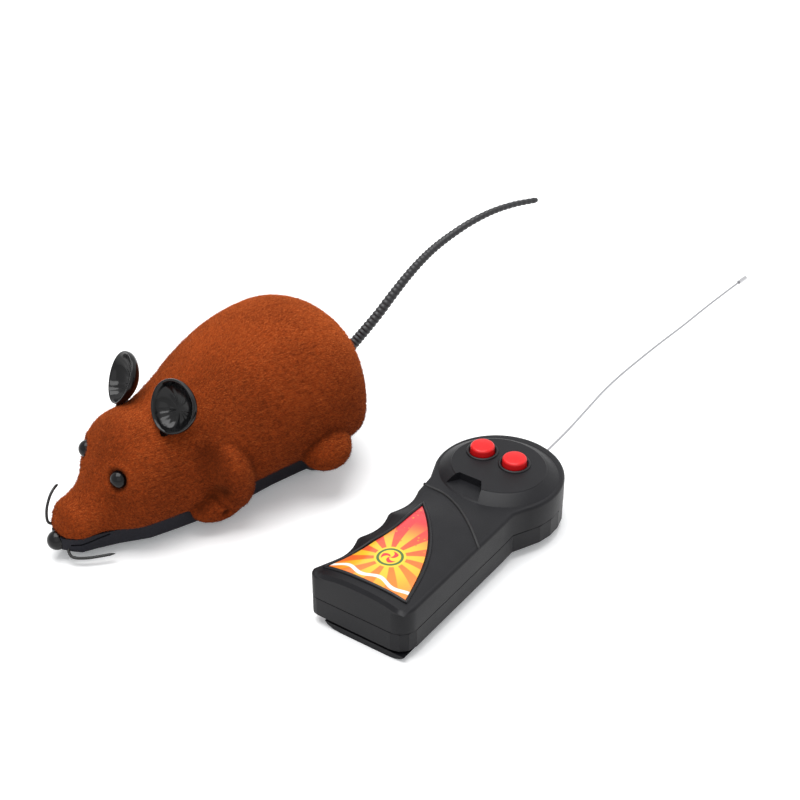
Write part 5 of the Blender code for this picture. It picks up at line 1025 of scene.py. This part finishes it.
def tail_skin():
    """The tail with a rounded rib at every step, a plug inside the shell and a blunt tip."""
    route = []
    for back, up in TAIL_SHARES:
        route.append(on_mouse(TAIL_BACK + back * TAIL_REACH, 0.0, TAIL_UP + up * TAIL_RISE))
    count = TAIL_RIBS * TAIL_RIB_POINTS + 1
    points = curve_points(route, count)
    radii = []
    for k in range(count):
        radius = TAIL_RADII[0] + (TAIL_RADII[1] - TAIL_RADII[0]) * k / (count - 1)
        valley = abs(math.cos(HALF_TURN * k / TAIL_RIB_POINTS)) ** 3
        radii.append(radius * (1 - TAIL_VALLEY * valley))
    root_way = (points[1] - points[0]).normalized()
    tip_way = (points[-1] - points[-2]).normalized()
    ends = [points[0] - root_way * TAIL_PLUG, points[0] - root_way * 0.0005]
    tips = [points[-1] + tip_way * (radii[-1] * share) for share in (0.5, 0.8, 0.95)]
    tip_radii = [radii[-1] * share for share in (0.85, 0.55, 0.2)]
    plug_radius = TAIL_RADII[0] * (1 - TAIL_VALLEY)
    return tube(ends + points + tips, [plug_radius] * 2 + radii + tip_radii, 6)


class TOYMOUSE_OT_body(bpy.types.Operator):
    """Make the flocked skin of the body with its fibres"""

    bl_idname = "toymouse.body"
    bl_label = "Flocked body"
    bl_options = {"REGISTER", "UNDO"}

    def execute(self, context):
        looks = context.scene.toy_mouse
        skin = flock_skin()
        finish = flocked("flock", looks.flock_dark, looks.flock_light, looks.flock_painted_shade)
        fibres = flock_fibres(open_below(skin.copy()), looks)
        shell = {"thickness": looks.skin_thickness, "offset": -1.0, "use_even_offset": False}
        mesh = modified(open_below(skin), "SOLIDIFY", **shell)
        show("flocked_skin", refined(mesh, HALF_TURN), finish, "mouse", "body_shell")
        strands = fibre_finish("flock_strands", looks.flock_root, looks.flock_tip)
        show("flock_fibres", fibres, strands, "mouse", None)
        return {"FINISHED"}


class TOYMOUSE_OT_face(bpy.types.Operator):
    """Make the nose, the eyes and the ear cups"""

    bl_idname = "toymouse.face"
    bl_label = "Nose, eyes and ears"
    bl_options = {"REGISTER", "UNDO"}

    def execute(self, context):
        looks = context.scene.toy_mouse
        gloss = polished("glossy_black", looks.gloss_colour, 0.14, Specular_IOR_Level=0.25)
        satin = polished("satin_black", looks.gloss_colour, 0.16, Specular_IOR_Level=0.3)
        low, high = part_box("nose_tip")
        centre = (low.x + NOSE_RADIUS, (low.y + high.y) / 2, (low.z + high.z) / 2)
        nose = finished_mesh(egg(centre, [NOSE_RADIUS] * 3))
        show("nose_ball", nose, satin, "mouse", "nose_tip")
        for side, word in ((-1, "left"), (1, "right")):
            inward = Vector((EYE_LOOK[0], EYE_LOOK[1] * side, EYE_LOOK[2])).normalized()
            centre = at_shares(EYE_SHARES, side)
            peg = rod(centre, inward, EYE_PEG_RADIUS, 0.0, EYE_PEG_REACH, PEG_SIDES)
            mesh = combined(plain_mesh(egg(centre, [EYE_RADIUS] * 3)), "UNION", peg)
            show("eye_ball_" + word, refined(mesh), gloss, "mouse", "eye_" + word)
            mesh = combined(plain_mesh(ear_cup(side, looks.ear_folds)), "UNION", *ear_peg(side))
            cup = refined(mesh, HALF_TURN)
            show("ear_cup_" + word, cup, satin, "mouse", "ear_" + word)
        return {"FINISHED"}


class TOYMOUSE_OT_whiskers(bpy.types.Operator):
    """Make the two wire whiskers"""

    bl_idname = "toymouse.whiskers"
    bl_label = "Whiskers"
    bl_options = {"REGISTER", "UNDO"}

    def execute(self, context):
        wire = polished("whisker_wire", context.scene.toy_mouse.gloss_colour, 0.35)
        for word, shares, side in (("left", WHISKER_LEFT_SHARES, -1), ("right", WHISKER_RIGHT_SHARES, 1)):
            points = curve_points(whisker_route(shares, side), WHISKER_POINTS)
            radii = [WHISKER_RADIUS] * (len(points) - 2) + [0.7 * WHISKER_RADIUS, 0.3 * WHISKER_RADIUS]
            whisker = tube(points, radii)
            show("whisker_wire_" + word, whisker, wire, "mouse", "whisker_" + word)
        return {"FINISHED"}


class TOYMOUSE_OT_tail(bpy.types.Operator):
    """Make the ribbed tail"""

    bl_idname = "toymouse.tail"
    bl_label = "Ribbed tail"
    bl_options = {"REGISTER", "UNDO"}

    def execute(self, context):
        finish = rubbery("tail_rubber", context.scene.toy_mouse.tail_colour)
        show("tail_skin", tail_skin(), finish, "mouse", "tail")
        return {"FINISHED"}


def arc(centre, radius, start, end, count):
    """Points of an arc, its two ends among them."""
    points = []
    for k in range(count):
        angle = start + (end - start) * k / (count - 1)
        points.append((centre[0] + radius * math.cos(angle), centre[1] + radius * math.sin(angle)))
    return points


def far_edge(along):
    """How far out the handle's scalloped side lies at a place along it."""
    grip = (along - GRIP_START) / GRIP_PITCH
    if not 0.0 <= grip <= GRIP_COUNT:
        return HANDLE_HALF_WIDTH - GRIP_TAPER * (grip > 0)
    scallop = GRIP_DEPTH * math.sin(HALF_TURN * (grip % 1.0))
    return HANDLE_HALF_WIDTH - GRIP_TAPER * grip / GRIP_COUNT - scallop


def case_outline(inset=0.0):
    """The remote seen from above, anticlockwise from its near right corner, drawn in by inset."""
    half = HANDLE_HALF_WIDTH
    points = arc((NEAR_CORNER, NEAR_CORNER - half), NEAR_CORNER - inset, HALF_TURN, 1.5 * HALF_TURN, 14)
    points.append((0.5 * NECK_LENGTH, inset - half))
    points.append((NECK_LENGTH, inset - half))
    points.append((NECK_NEAR[0], inset - NECK_NEAR[1]))
    points += arc((HEAD_CENTRE, HEAD_OFFSET), HEAD_RADIUS - inset, HEAD_START, HEAD_END, 72)
    points.append((NECK_FAR[0], NECK_FAR[1] - inset))
    steps = 14
    for grip in reversed(range(GRIP_COUNT)):
        for k in reversed(range(steps)):
            along = GRIP_START + (grip + (k + 0.5) / steps) * GRIP_PITCH
            points.append((along, far_edge(along) - inset))
    corner = FAR_CORNER - min(inset, FAR_CORNER / 2)
    flared = half + HANDLE_FLARE - inset - corner
    points += arc((inset + corner, flared), corner, HALF_TURN / 2, HALF_TURN, 10)
    return points


def lifted(points, height):
    return [on_remote(x, y, height) for x, y in points]


def case_rings(heights, roundings):
    """Rings of the case's outline, each at its height and drawn in."""
    return [lifted(case_outline(inset), height) for height, inset in zip(heights, roundings)]


def round_edge(low, high, radius, steps):
    """Heights and insets of a side whose upper edge is rounded."""
    rows = [(low, 0.0)]
    for k in range(steps + 1):
        angle = HALF_TURN / 2 * k / steps
        rows.append((high - radius + radius * math.sin(angle), radius * (1 - math.cos(angle))))
    return rows


def crown(along, across):
    """How far the handle's top rises over its rim at a place."""
    lower, upper = HANDLE_HALF_WIDTH - CROWN_EDGE, far_edge(along) - CROWN_EDGE
    half = (lower + upper) / 2
    share = min(abs(across - (upper - lower) / 2) / half, 1.0)
    return CROWN_RISE * (1 - share**2.4) * (1 - smoothstep(along, CROWN_END - 0.024, CROWN_END))


def crown_skin():
    """The crowned top of the handle, as a body that stands on the case."""
    rings = []
    for n in range(61):
        along = CROWN_END * n / 60
        drop = CASE_ROUNDING * (1 - math.sqrt(1 - (1 - min(along / CASE_ROUNDING, 1.0)) ** 2))
        ring = []
        lower, upper = HANDLE_HALF_WIDTH - CROWN_EDGE, far_edge(along) - CROWN_EDGE
        for k in range(41):
            across = upper - (upper + lower) * k / 40
            height = crown(along, across)
            ring.append(on_remote(along, across, RIM_HEIGHT - 0.0002 + max(height - drop, 0.0)))
        ring += [on_remote(along, across, RIM_HEIGHT - 0.0012) for across in (-0.012, 0.0, 0.012)]
        rings.append(ring)
    return skinned(rings)


def platform_ring(grow, height, front_gap=0.0):
    """The platform's oval, grown all round and drawn back from the handle by front_gap."""
    points = []
    for k in range(96):
        angle = FULL_TURN * k / 96
        x = PLATFORM_BACK + front_gap / 2
        x += (PLATFORM_HALF_LENGTH + grow - front_gap / 2) * math.cos(angle)
        points.append((x, HEAD_OFFSET + (PLATFORM_HALF_WIDTH + grow) * math.sin(angle)))
    return lifted(points, height)


def label_outline(grow, steps=16):
    """The label's three bowed sides with eased corners, grown all round."""
    corners = [Vector(corner) for corner in LABEL_CORNERS]
    middle = (corners[0] + corners[1] + corners[2]) / 3
    points = []
    for start, end, bow in zip(corners, corners[1:] + corners[:1], LABEL_BOWS):
        way = (end - start).normalized()
        out = Vector((way.y, -way.x))
        if out.dot(start - middle) < 0:
            out = -out
        for k in range(steps):
            share = k / steps
            spot = start.lerp(end, share) + out * (bow * math.sin(HALF_TURN * share))
            points.append(spot + (spot - middle).normalized() * grow)
    return [(point.x, point.y) for point in points]


def notch_outline(grow=0.0):
    """The hollow in the platform's skirt, on the handle's side."""
    edge = PLATFORM_BACK - PLATFORM_HALF_LENGTH
    front = edge - PLATFORM_SKIRT - CUT_OVERRUN
    inner, outer = NOTCH_HALF_WIDTH + grow, NOTCH_HALF_WIDTH + NOTCH_FLARE + grow
    return [
        (front, NOTCH_OFFSET - outer - NOTCH_FLARE),
        (edge, NOTCH_OFFSET - outer),
        (edge + NOTCH_DEPTH + grow, NOTCH_OFFSET - inner),
        (edge + NOTCH_DEPTH + grow, NOTCH_OFFSET + inner),
        (edge, NOTCH_OFFSET + outer),
        (front, NOTCH_OFFSET + outer + NOTCH_FLARE),
    ]


def slab(points, low, high):
    return skinned([lifted(points, low), lifted(points, high)])


def crowned(points, height):
    return [on_remote(x, y, height + crown(x, y)) for x, y in points]


def label_rings(grow, height, shares):
    """Rings inside the label's outline that follow the crown, at shares of its size."""
    middle = Vector((sum(x for x, _ in LABEL_CORNERS) / 3, sum(y for _, y in LABEL_CORNERS) / 3))
    rings = []
    for share in shares:
        ring = [middle + (Vector(point) - middle) * share for point in label_outline(grow)]
        rings.append(crowned([(point.x, point.y) for point in ring], height))
    return rings


def button_spots():
    across = BUTTON_SPACING / 2
    return (("left", BUTTON_OFFSET + across), ("right", BUTTON_OFFSET - across))


def top_case():
    """The upper case: hollow, with its platform, notch, label bed and button holes."""
    low = PARTING + PARTING_GAP / 2
    heights, insets = zip(*round_edge(low, RIM_HEIGHT, CASE_ROUNDING, 5))
    mesh = plain_mesh(skinned(case_rings(heights, insets)))
    foot = RIM_HEIGHT - 0.0006
    bevel = [platform_ring(PLATFORM_SKIRT, foot)]
    for k in range(5):
        angle = HALF_TURN / 2 * k / 4
        height = PLATFORM_HEIGHT - 0.0005 * (1 - k / 4) ** 1.6
        bevel.append(platform_ring(0.0009 * (1 - math.sin(angle)) ** 1.5, height))
    mesh = combined(mesh, "UNION", crown_skin(), skinned(bevel))
    notch = skinned([
        lifted(notch_outline(), RIM_HEIGHT + NOTCH_FLOOR),
        lifted(notch_outline(0.0005), PLATFORM_HEIGHT + CUT_OVERRUN),
    ])
    hollow = slab(case_outline(CASE_WALL), low - CUT_OVERRUN, CASE_CEILING)
    room_heights = (CASE_CEILING - HOLE_OVERRUN, PLATFORM_UNDER)
    room = skinned([platform_ring(-CASE_WALL, height, NOTCH_DEPTH) for height in room_heights])
    bed = label_rings(LABEL_ROOM, RIM_HEIGHT - LABEL_RECESS, INNER_SHARES[::-1])
    bed += label_rings(LABEL_ROOM, RIM_HEIGHT + CUT_OVERRUN, INNER_SHARES)
    holes = []
    for _, across in button_spots():
        radius = BUTTON_RADIUS + BUTTON_ROOM
        spot = on_remote(BUTTON_BACK, across, 0.0)
        low_end, high_end = PLATFORM_UNDER - HOLE_OVERRUN, PLATFORM_HEIGHT + CUT_OVERRUN
        holes.append(rod(spot, UPWARDS, radius, low_end, high_end))
    mesh = combined(mesh, "DIFFERENCE", notch, hollow, room, skinned(bed), *holes)
    ceiling = CASE_CEILING + 0.0003
    spot = on_remote(SCREW_BACK, 0.0, 0.0)
    post = [(PILOT_RADIUS, POST_LOW), (POST_RADIUS, POST_LOW)]
    post += [(POST_RADIUS, ceiling), (PILOT_RADIUS, ceiling)]
    wall = HEAD_CENTRE + math.sqrt(HEAD_RADIUS**2 - (AERIAL_SIDE - HEAD_OFFSET) ** 2)
    spot_out = on_remote(wall, AERIAL_SIDE, AERIAL_HEIGHT)
    way = on_remote(1.0, 0.0, 0.0) - on_remote(0.0, 0.0, 0.0)
    boss = rod(spot_out, way, AERIAL_BOSS_RADIUS, -AERIAL_BOSS_LENGTH, -0.0004, 32)
    mesh = combined(mesh, "UNION", turned(post, spot, sides=32), boss)
    bore = rod(spot_out, way, AERIAL_BORE_RADIUS, -0.01, 0.001, 24)
    return combined(mesh, "DIFFERENCE", bore)


def half_round_ring(points, radius):
    """A bead that follows a closed outline, sunk by half into what carries it."""
    rings = []
    count = len(points)
    for k, place in enumerate(points):
        way = (points[(k + 1) % count] - points[k - 1]).normalized()
        side = way.cross(Vector((0.0, 0.0, 1.0))).normalized()
        ring = []
        for n in range(BEAD_SIDES):
            angle = FULL_TURN * n / BEAD_SIDES
            rise = Vector((0.0, 0.0, radius * math.sin(angle)))
            ring.append(place + side * (radius * math.cos(angle)) + rise)
        rings.append(ring)
    return skinned(rings, looped=True)


def button_skin(across):
    """A button with a rounded top, a flange under the case and a stem."""
    stem_low = PLATFORM_UNDER - 0.0003 - 0.0010 - STEM_LENGTH
    flange_low, flange_top = stem_low + STEM_LENGTH, stem_low + STEM_LENGTH + 0.0010
    top = PLATFORM_HEIGHT + BUTTON_PROUD
    flange = BUTTON_RADIUS + BUTTON_FLANGE
    profile = [(0.0, stem_low), (STEM_RADIUS, stem_low), (STEM_RADIUS, flange_low), (flange, flange_low)]
    profile += [(flange, flange_top), (BUTTON_RADIUS, flange_top)]
    flat, shoulder = BUTTON_RADIUS - BUTTON_EDGE, top - BUTTON_EDGE - BUTTON_CROWN
    for k in range(9):
        angle = HALF_TURN / 2 * k / 8
        profile.append((flat + BUTTON_EDGE * math.cos(angle), shoulder + BUTTON_EDGE * math.sin(angle)))
    for k in range(1, 6):
        share = k / 5
        profile.append((flat * (1 - share), top - BUTTON_CROWN * (1 - share) ** 2))
    return turned(profile, on_remote(BUTTON_BACK, across, 0.0))


def label_skin():
    """The printed label: a thin sheet that follows its bed, a little crowned."""
    low = RIM_HEIGHT - LABEL_RECESS + LABEL_GLUE
    rings = label_rings(0.0, low, INNER_SHARES[::-1])
    rings += label_rings(0.0, low + LABEL_THICKNESS, INNER_SHARES)
    return skinned(rings)


def print_finish(name, looks):
    """A made-up print for the label: a sun with rays over warm bands, in glossy ink."""
    finish = Finish(name, looks.label_red, 0.22, Coat_Weight=0.5, Coat_Roughness=0.1)
    middle = on_remote(0.0185, 0.0010, 0.0)
    place = finish.add("ShaderNodeTexCoord", output="Object")
    offset = {"Vector": place, "Location": tuple(-middle), "Rotation": (0.0, 0.0, 0.0)}
    local = finish.add("ShaderNodeMapping", {"vector_type": "POINT"}, offset)
    turn = {"Vector": local, "Rotation": (0.0, 0.0, -REMOTE_TURN)}
    turned_place = finish.add("ShaderNodeMapping", None, turn)
    split = finish.tree.nodes.new("ShaderNodeSeparateXYZ")
    finish.feed(split.inputs[0], turned_place)
    along, across = Signal(finish, split.outputs[0]), Signal(finish, split.outputs[1])
    angle = finish.add("ShaderNodeMath", {"operation": "ARCTAN2"}, {0: across, 1: along})
    squared = along * along + across * across
    reach = finish.add("ShaderNodeMath", {"operation": "SQRT"}, {0: squared})
    blur = finish.noise(finish.where(), 380.0, 3.0)
    bands = (along * 95.0 + across * 60.0 + blur * 0.8).within(-1.2, 2.6)
    ground = finish.mix(bands, looks.label_orange, looks.label_red)
    rays = (angle * 11.0 + reach * 60.0).sine().within(-0.15, 0.15)
    fade = 1.0 - reach.within(0.006, 0.021)
    ground = finish.mix(0.85 * rays * fade, ground, looks.label_yellow)
    disc = 1.0 - reach.within(0.0050, 0.0053)
    ground = finish.mix(disc, ground, looks.label_yellow)
    ring = reach.within(0.0034, 0.0036) * (1.0 - reach.within(0.0043, 0.0045))
    ground = finish.mix(ring, ground, looks.label_green)
    swirl = (angle * 3.0 - reach * 1400.0).sine().within(0.1, 0.3) * (1.0 - reach.within(0.0028, 0.0030))
    ground = finish.mix(swirl, ground, looks.label_red)
    far = (along * 1000.0 + (across * 520.0).sine() * 0.9)
    wave = far.within(-11.6, -11.2) * (1.0 - far.within(-10.2, -9.8))
    ground = finish.mix(wave, ground, (0.95, 0.93, 0.88))
    dots = finish.cells(finish.where((1.0, 1.0, 0.0)), 520.0).within(0.16, 0.22)
    spread = far.within(6.0, 9.0)
    ground = finish.mix((1.0 - dots) * spread, ground, looks.label_orange)
    finish.set("Base Color", ground)
    return finish.relief(blur, 0.00004)


class TOYMOUSE_OT_case(bpy.types.Operator):
    """Make the remote's upper case, the rim round its label and a dark rod of painted shade along the groove
    at its neck
    """

    bl_idname = "toymouse.case"
    bl_label = "Remote case"
    bl_options = {"REGISTER", "UNDO"}

    def execute(self, context):
        looks = context.scene.toy_remote
        satin = grained("case_satin", looks.case_colour, 0.42, 0.00035, 0.00003, Specular_IOR_Level=0.22)
        mesh = refined(top_case(), CASE_SHARP)
        show("upper_case", mesh, satin, "remote", "remote_top_case")
        # Painted shade: a dark rod laid along the neck groove stands for the groove's shadow
        groove = grained("groove_shadow", toned(looks.case_colour, 0.35), 0.6)
        rim = grained("rim_satin", looks.case_colour, 0.35, 0.0003, 0.00001, Specular_IOR_Level=0.3)
        outline = crowned(label_outline(LABEL_ROOM + LABEL_RIM / 2, 40), RIM_HEIGHT - 0.0001)
        mesh = finished_mesh(half_round_ring(outline, LABEL_RIM / 2))
        show("label_rim", mesh, rim, "remote", None)
        flat = [(k, *place) for k, place in enumerate(GROOVE_ROUTE)]
        steps = [(len(flat) - 1) * k / 60 for k in range(61)]
        points = crowned([eased(flat, step) for step in steps], RIM_HEIGHT - 0.0002)
        mesh = tube(points, [GROOVE_RADIUS] * len(points))
        show("neck_groove_shade", mesh, groove, "remote", None)
        return {"FINISHED"}


class TOYMOUSE_OT_buttons(bpy.types.Operator):
    """Make the two red buttons with their collars"""

    bl_idname = "toymouse.buttons"
    bl_label = "Buttons"
    bl_options = {"REGISTER", "UNDO"}

    def execute(self, context):
        looks = context.scene.toy_remote
        red = polished("button_red", looks.button_colour, 0.30, Specular_IOR_Level=0.35)
        black = grained("collar_black", looks.case_colour, 0.38, 0.0003, 0.00001, Specular_IOR_Level=0.3)
        for word, across in button_spots():
            button = "button_" + word
            mesh = finished_mesh(button_skin(across))
            show(button + "_cap", mesh, red, button, "remote_" + button)
            centre = on_remote(BUTTON_BACK, across, PLATFORM_HEIGHT)
            radius = BUTTON_RADIUS + BUTTON_ROOM + COLLAR_OFFSET
            circle = []
            for k in range(COLLAR_STEPS):
                angle = FULL_TURN * k / COLLAR_STEPS
                circle.append(centre + Vector((radius * math.cos(angle), radius * math.sin(angle), 0.0)))
            mesh = finished_mesh(half_round_ring(circle, COLLAR_RADIUS))
            show(button + "_collar", mesh, black, "remote", None)
        return {"FINISHED"}


class TOYMOUSE_OT_label(bpy.types.Operator):
    """Make the remote's label with its made-up print"""

    bl_idname = "toymouse.label"
    bl_label = "Remote label"
    bl_options = {"REGISTER", "UNDO"}

    def execute(self, context):
        finish = print_finish("label_print", context.scene.toy_remote)
        show("label_sheet", finished_mesh(label_skin()), finish, "remote", "remote_label")
        return {"FINISHED"}


class TOYMOUSE_OT_aerial(bpy.types.Operator):
    """Make the remote's wire aerial"""

    bl_idname = "toymouse.aerial"
    bl_label = "Aerial"
    bl_options = {"REGISTER", "UNDO"}

    def execute(self, context):
        wire = brushed("aerial_wire", context.scene.toy_remote.wire_colour, 0.28)
        route = []
        for along, up in AERIAL_SHARES:
            height = AERIAL_HEIGHT + up * AERIAL_RISE
            route.append(on_remote(AERIAL_ROOT + along * AERIAL_REACH, AERIAL_SIDE, height))
        points = curve_points(route, 160)
        mesh = tube(points, [AERIAL_RADIUS] * len(points))
        show("aerial_wire", mesh, wire, "remote", "remote_antenna")
        return {"FINISHED"}


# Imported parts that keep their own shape, by finish
NODE_FINISHES = {
    "chassis_black": (
        "chassis", "caster_fork", "gearbox_frame", "gearbox_cover", "battery_door", "switch_knob",
    ),
    "remote_black": ("remote_bottom_case", "remote_battery_door"),
    "hub_plastic": ("wheel_left", "wheel_right", "caster_wheel", "axle_gear", "idler_gear", "tail_clip"),
    "tyre_rubber": ("tyre_left", "tyre_right", "remote_dome_left", "remote_dome_right", "motor_lead"),
    "steel": (
        "rear_axle",
        "idler_pin",
        "motor_shaft",
        "motor_can",
        "caster_pin",
        "battery_door_screw",
        "battery_spring",
        "shell_screw_front",
        "shell_screw_rear",
        "remote_contact_bridge",
        "remote_contact_spring",
        "remote_antenna_tip",
        "remote_screw",
        "battery_contact",
        "switch_body",
    ),
    "brass": ("motor_pinion", "axle_bush_left", "axle_bush_right"),
    "white_plastic": ("motor_end_cap",),
    "cell_steel": ("button_cell_1", "button_cell_2", "button_cell_3"),
    "cell_sleeve": ("remote_cell_left", "remote_cell_right"),
    "board": ("receiver_board", "remote_board"),
}


class TOYMOUSE_OT_plain_parts(bpy.types.Operator):
    """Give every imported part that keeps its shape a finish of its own"""

    bl_idname = "toymouse.plain_parts"
    bl_label = "Chassis, wheels and inner parts"
    bl_options = {"REGISTER", "UNDO"}

    def execute(self, context):
        mouse, remote = context.scene.toy_mouse, context.scene.toy_remote
        finishes = {
            "chassis_black": grained(
                "chassis_black", mouse.chassis_colour, 0.6, 0.0006, 0.00006, Specular_IOR_Level=0.15
            ),
            "remote_black": grained(
                "remote_black", remote.case_colour, 0.42, 0.00035, 0.00003, Specular_IOR_Level=0.22
            ),
            "hub_plastic": polished("hub_plastic", (0.62, 0.62, 0.60), 0.4),
            "tyre_rubber": rubbery("tyre_rubber", (0.020, 0.020, 0.021), 0.6),
            "steel": brushed("steel", (0.60, 0.60, 0.62), 0.3),
            "brass": brushed("brass", (0.72, 0.52, 0.20), 0.3),
            "white_plastic": polished("white_plastic", (0.75, 0.75, 0.72), 0.45),
            "cell_steel": brushed("cell_steel", (0.70, 0.70, 0.72), 0.22),
            "cell_sleeve": polished("cell_sleeve", (0.035, 0.09, 0.22), 0.3, Coat_Weight=0.4),
            "board": grained("board", (0.015, 0.11, 0.04), 0.45, 0.0008, 0.00004),
        }
        for name, nodes in NODE_FINISHES.items():
            for node in nodes:
                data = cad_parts[node].data
                data.materials.clear()
                data.materials.append(finishes[name].material)
        return {"FINISHED"}


def aimed(obj, target):
    obj.rotation_euler = (target - obj.location).to_track_quat("-Z", "Y").to_euler()


class TOYMOUSE_OT_stage(bpy.types.Operator):
    """Make the floor, the soft light and the camera"""

    bl_idname = "toymouse.stage"
    bl_label = "Floor, light and camera"
    bl_options = {"REGISTER", "UNDO"}

    def execute(self, context):
        scene = context.scene
        looks = scene.toy_stage
        bm = bmesh.new()
        bmesh.ops.create_grid(bm, x_segments=2, y_segments=2, size=looks.floor_size / 2)
        floor = bpy.data.objects.new("studio_floor", finished_mesh(bm))
        scene.collection.objects.link(floor)
        floor.data.materials.append(self.floor_paper(looks).material)
        self.sky(scene, looks)
        target = MOUSE_ORIGIN + Vector((LOOK_AT[0], LOOK_AT[1], 0.0))
        for name, place, size, power in LAMPS:
            lamp = bpy.data.lights.new(name, "AREA")
            lamp.shape = "SQUARE"
            lamp.size = size
            lamp.energy = power * looks.light_level
            obj = bpy.data.objects.new(name, lamp)
            scene.collection.objects.link(obj)
            obj.location = place
            aimed(obj, target)
        camera = bpy.data.cameras.new("camera")
        camera.sensor_width = 36.0
        camera.lens = looks.lens
        camera.clip_start = 0.01
        obj = bpy.data.objects.new("camera", camera)
        scene.collection.objects.link(obj)
        around, up = looks.azimuth, looks.elevation
        back = Vector((math.sin(around) * math.cos(up), -math.cos(around) * math.cos(up), math.sin(up)))
        obj.location = target + back * looks.distance
        aimed(obj, target)
        scene.camera = obj
        scene.view_settings.view_transform = "Standard"
        return {"FINISHED"}

    def floor_paper(self, looks):
        """White paper that keeps the shadow: seen as a plain white, darkened where little light falls, with a
        painted glow that lifts that shadow for the camera.
        """
        paper = Finish("floor_paper", looks.floor_colour, 0.9)
        path = paper.tree.nodes.new("ShaderNodeLightPath")
        rays = ("Is Camera Ray", "Is Glossy Ray", "Is Transmission Ray")
        seen = [Signal(paper, path.outputs[name]) for name in rays]
        paper.set("Base Color", paper.mix(seen[0] + seen[1] + seen[2], looks.floor_colour, looks.floor_seen))
        grain = paper.noise(paper.where(), 900.0, 2.0)
        paper.set("Roughness", 0.85 + 0.1 * grain)
        paper.set("Specular IOR Level", 0.1)
        # Painted light: a faint bluish glow, seen only by the camera, lifts and tints the floor's shadow
        paper.set("Emission Strength", looks.floor_glow)
        paper.set("Emission Color", paper.mix(seen[0], (0.0, 0.0, 0.0), (0.94, 0.97, 1.0)))
        return paper

    def sky(self, scene, looks):
        world = bpy.data.worlds.new("studio")
        scene.world = world
        world.use_nodes = True
        tree = world.node_tree
        plain = tree.nodes["Background"]
        plain.inputs["Color"].default_value = (1.0, 1.0, 1.0, 1.0)
        plain.inputs["Strength"].default_value = looks.sky_level
        white = tree.nodes.new("ShaderNodeBackground")
        white.inputs["Color"].default_value = (1.0, 1.0, 1.0, 1.0)
        white.inputs["Strength"].default_value = 1.0
        path = tree.nodes.new("ShaderNodeLightPath")
        seen = tree.nodes.new("ShaderNodeMath")
        seen.operation = "ADD"
        seen.use_clamp = True
        tree.links.new(path.outputs["Is Camera Ray"], seen.inputs[0])
        tree.links.new(path.outputs["Is Glossy Ray"], seen.inputs[1])
        both = tree.nodes.new("ShaderNodeMath")
        both.operation = "ADD"
        both.use_clamp = True
        tree.links.new(seen.outputs[0], both.inputs[0])
        tree.links.new(path.outputs["Is Transmission Ray"], both.inputs[1])
        mix = tree.nodes.new("ShaderNodeMixShader")
        tree.links.new(both.outputs[0], mix.inputs[0])
        tree.links.new(plain.outputs[0], mix.inputs[1])
        tree.links.new(white.outputs[0], mix.inputs[2])
        tree.links.new(mix.outputs[0], tree.nodes["World Output"].inputs[0])


PIECES = (
    TOYMOUSE_OT_body,
    TOYMOUSE_OT_face,
    TOYMOUSE_OT_whiskers,
    TOYMOUSE_OT_tail,
    TOYMOUSE_OT_case,
    TOYMOUSE_OT_buttons,
    TOYMOUSE_OT_label,
    TOYMOUSE_OT_aerial,
    TOYMOUSE_OT_plain_parts,
    TOYMOUSE_OT_stage,
)


class TOYMOUSE_PT_pieces(bpy.types.Panel):
    """The pieces of the toy and the sizes and colours that they read"""

    bl_idname = "TOYMOUSE_PT_pieces"
    bl_label = "Toy mouse set"
    bl_space_type = "VIEW_3D"
    bl_region_type = "UI"
    bl_category = "Toy mouse"

    def draw(self, context):
        layout = self.layout
        for title, group in (("Mouse", "toy_mouse"), ("Remote", "toy_remote"), ("Stage", "toy_stage")):
            column = layout.column(heading=title)
            looks = getattr(context.scene, group)
            for name in type(looks).__annotations__:
                column.prop(looks, name)
        for piece in PIECES:
            layout.operator(piece.bl_idname)


CLASSES = (MouseLooks, RemoteLooks, StageLooks, *PIECES, TOYMOUSE_PT_pieces)
GROUPS = {"toy_mouse": MouseLooks, "toy_remote": RemoteLooks, "toy_stage": StageLooks}


def register():
    for cls in CLASSES:
        bpy.utils.register_class(cls)
    for name, group in GROUPS.items():
        setattr(bpy.types.Scene, name, PointerProperty(type=group))


def unregister():
    for name in GROUPS:
        delattr(bpy.types.Scene, name)
    for cls in reversed(CLASSES):
        bpy.utils.unregister_class(cls)


def main():
    register()
    for piece in PIECES:
        group, name = piece.bl_idname.split(".")
        getattr(getattr(bpy.ops, group), name)()


if __name__ == "__main__":
    main()
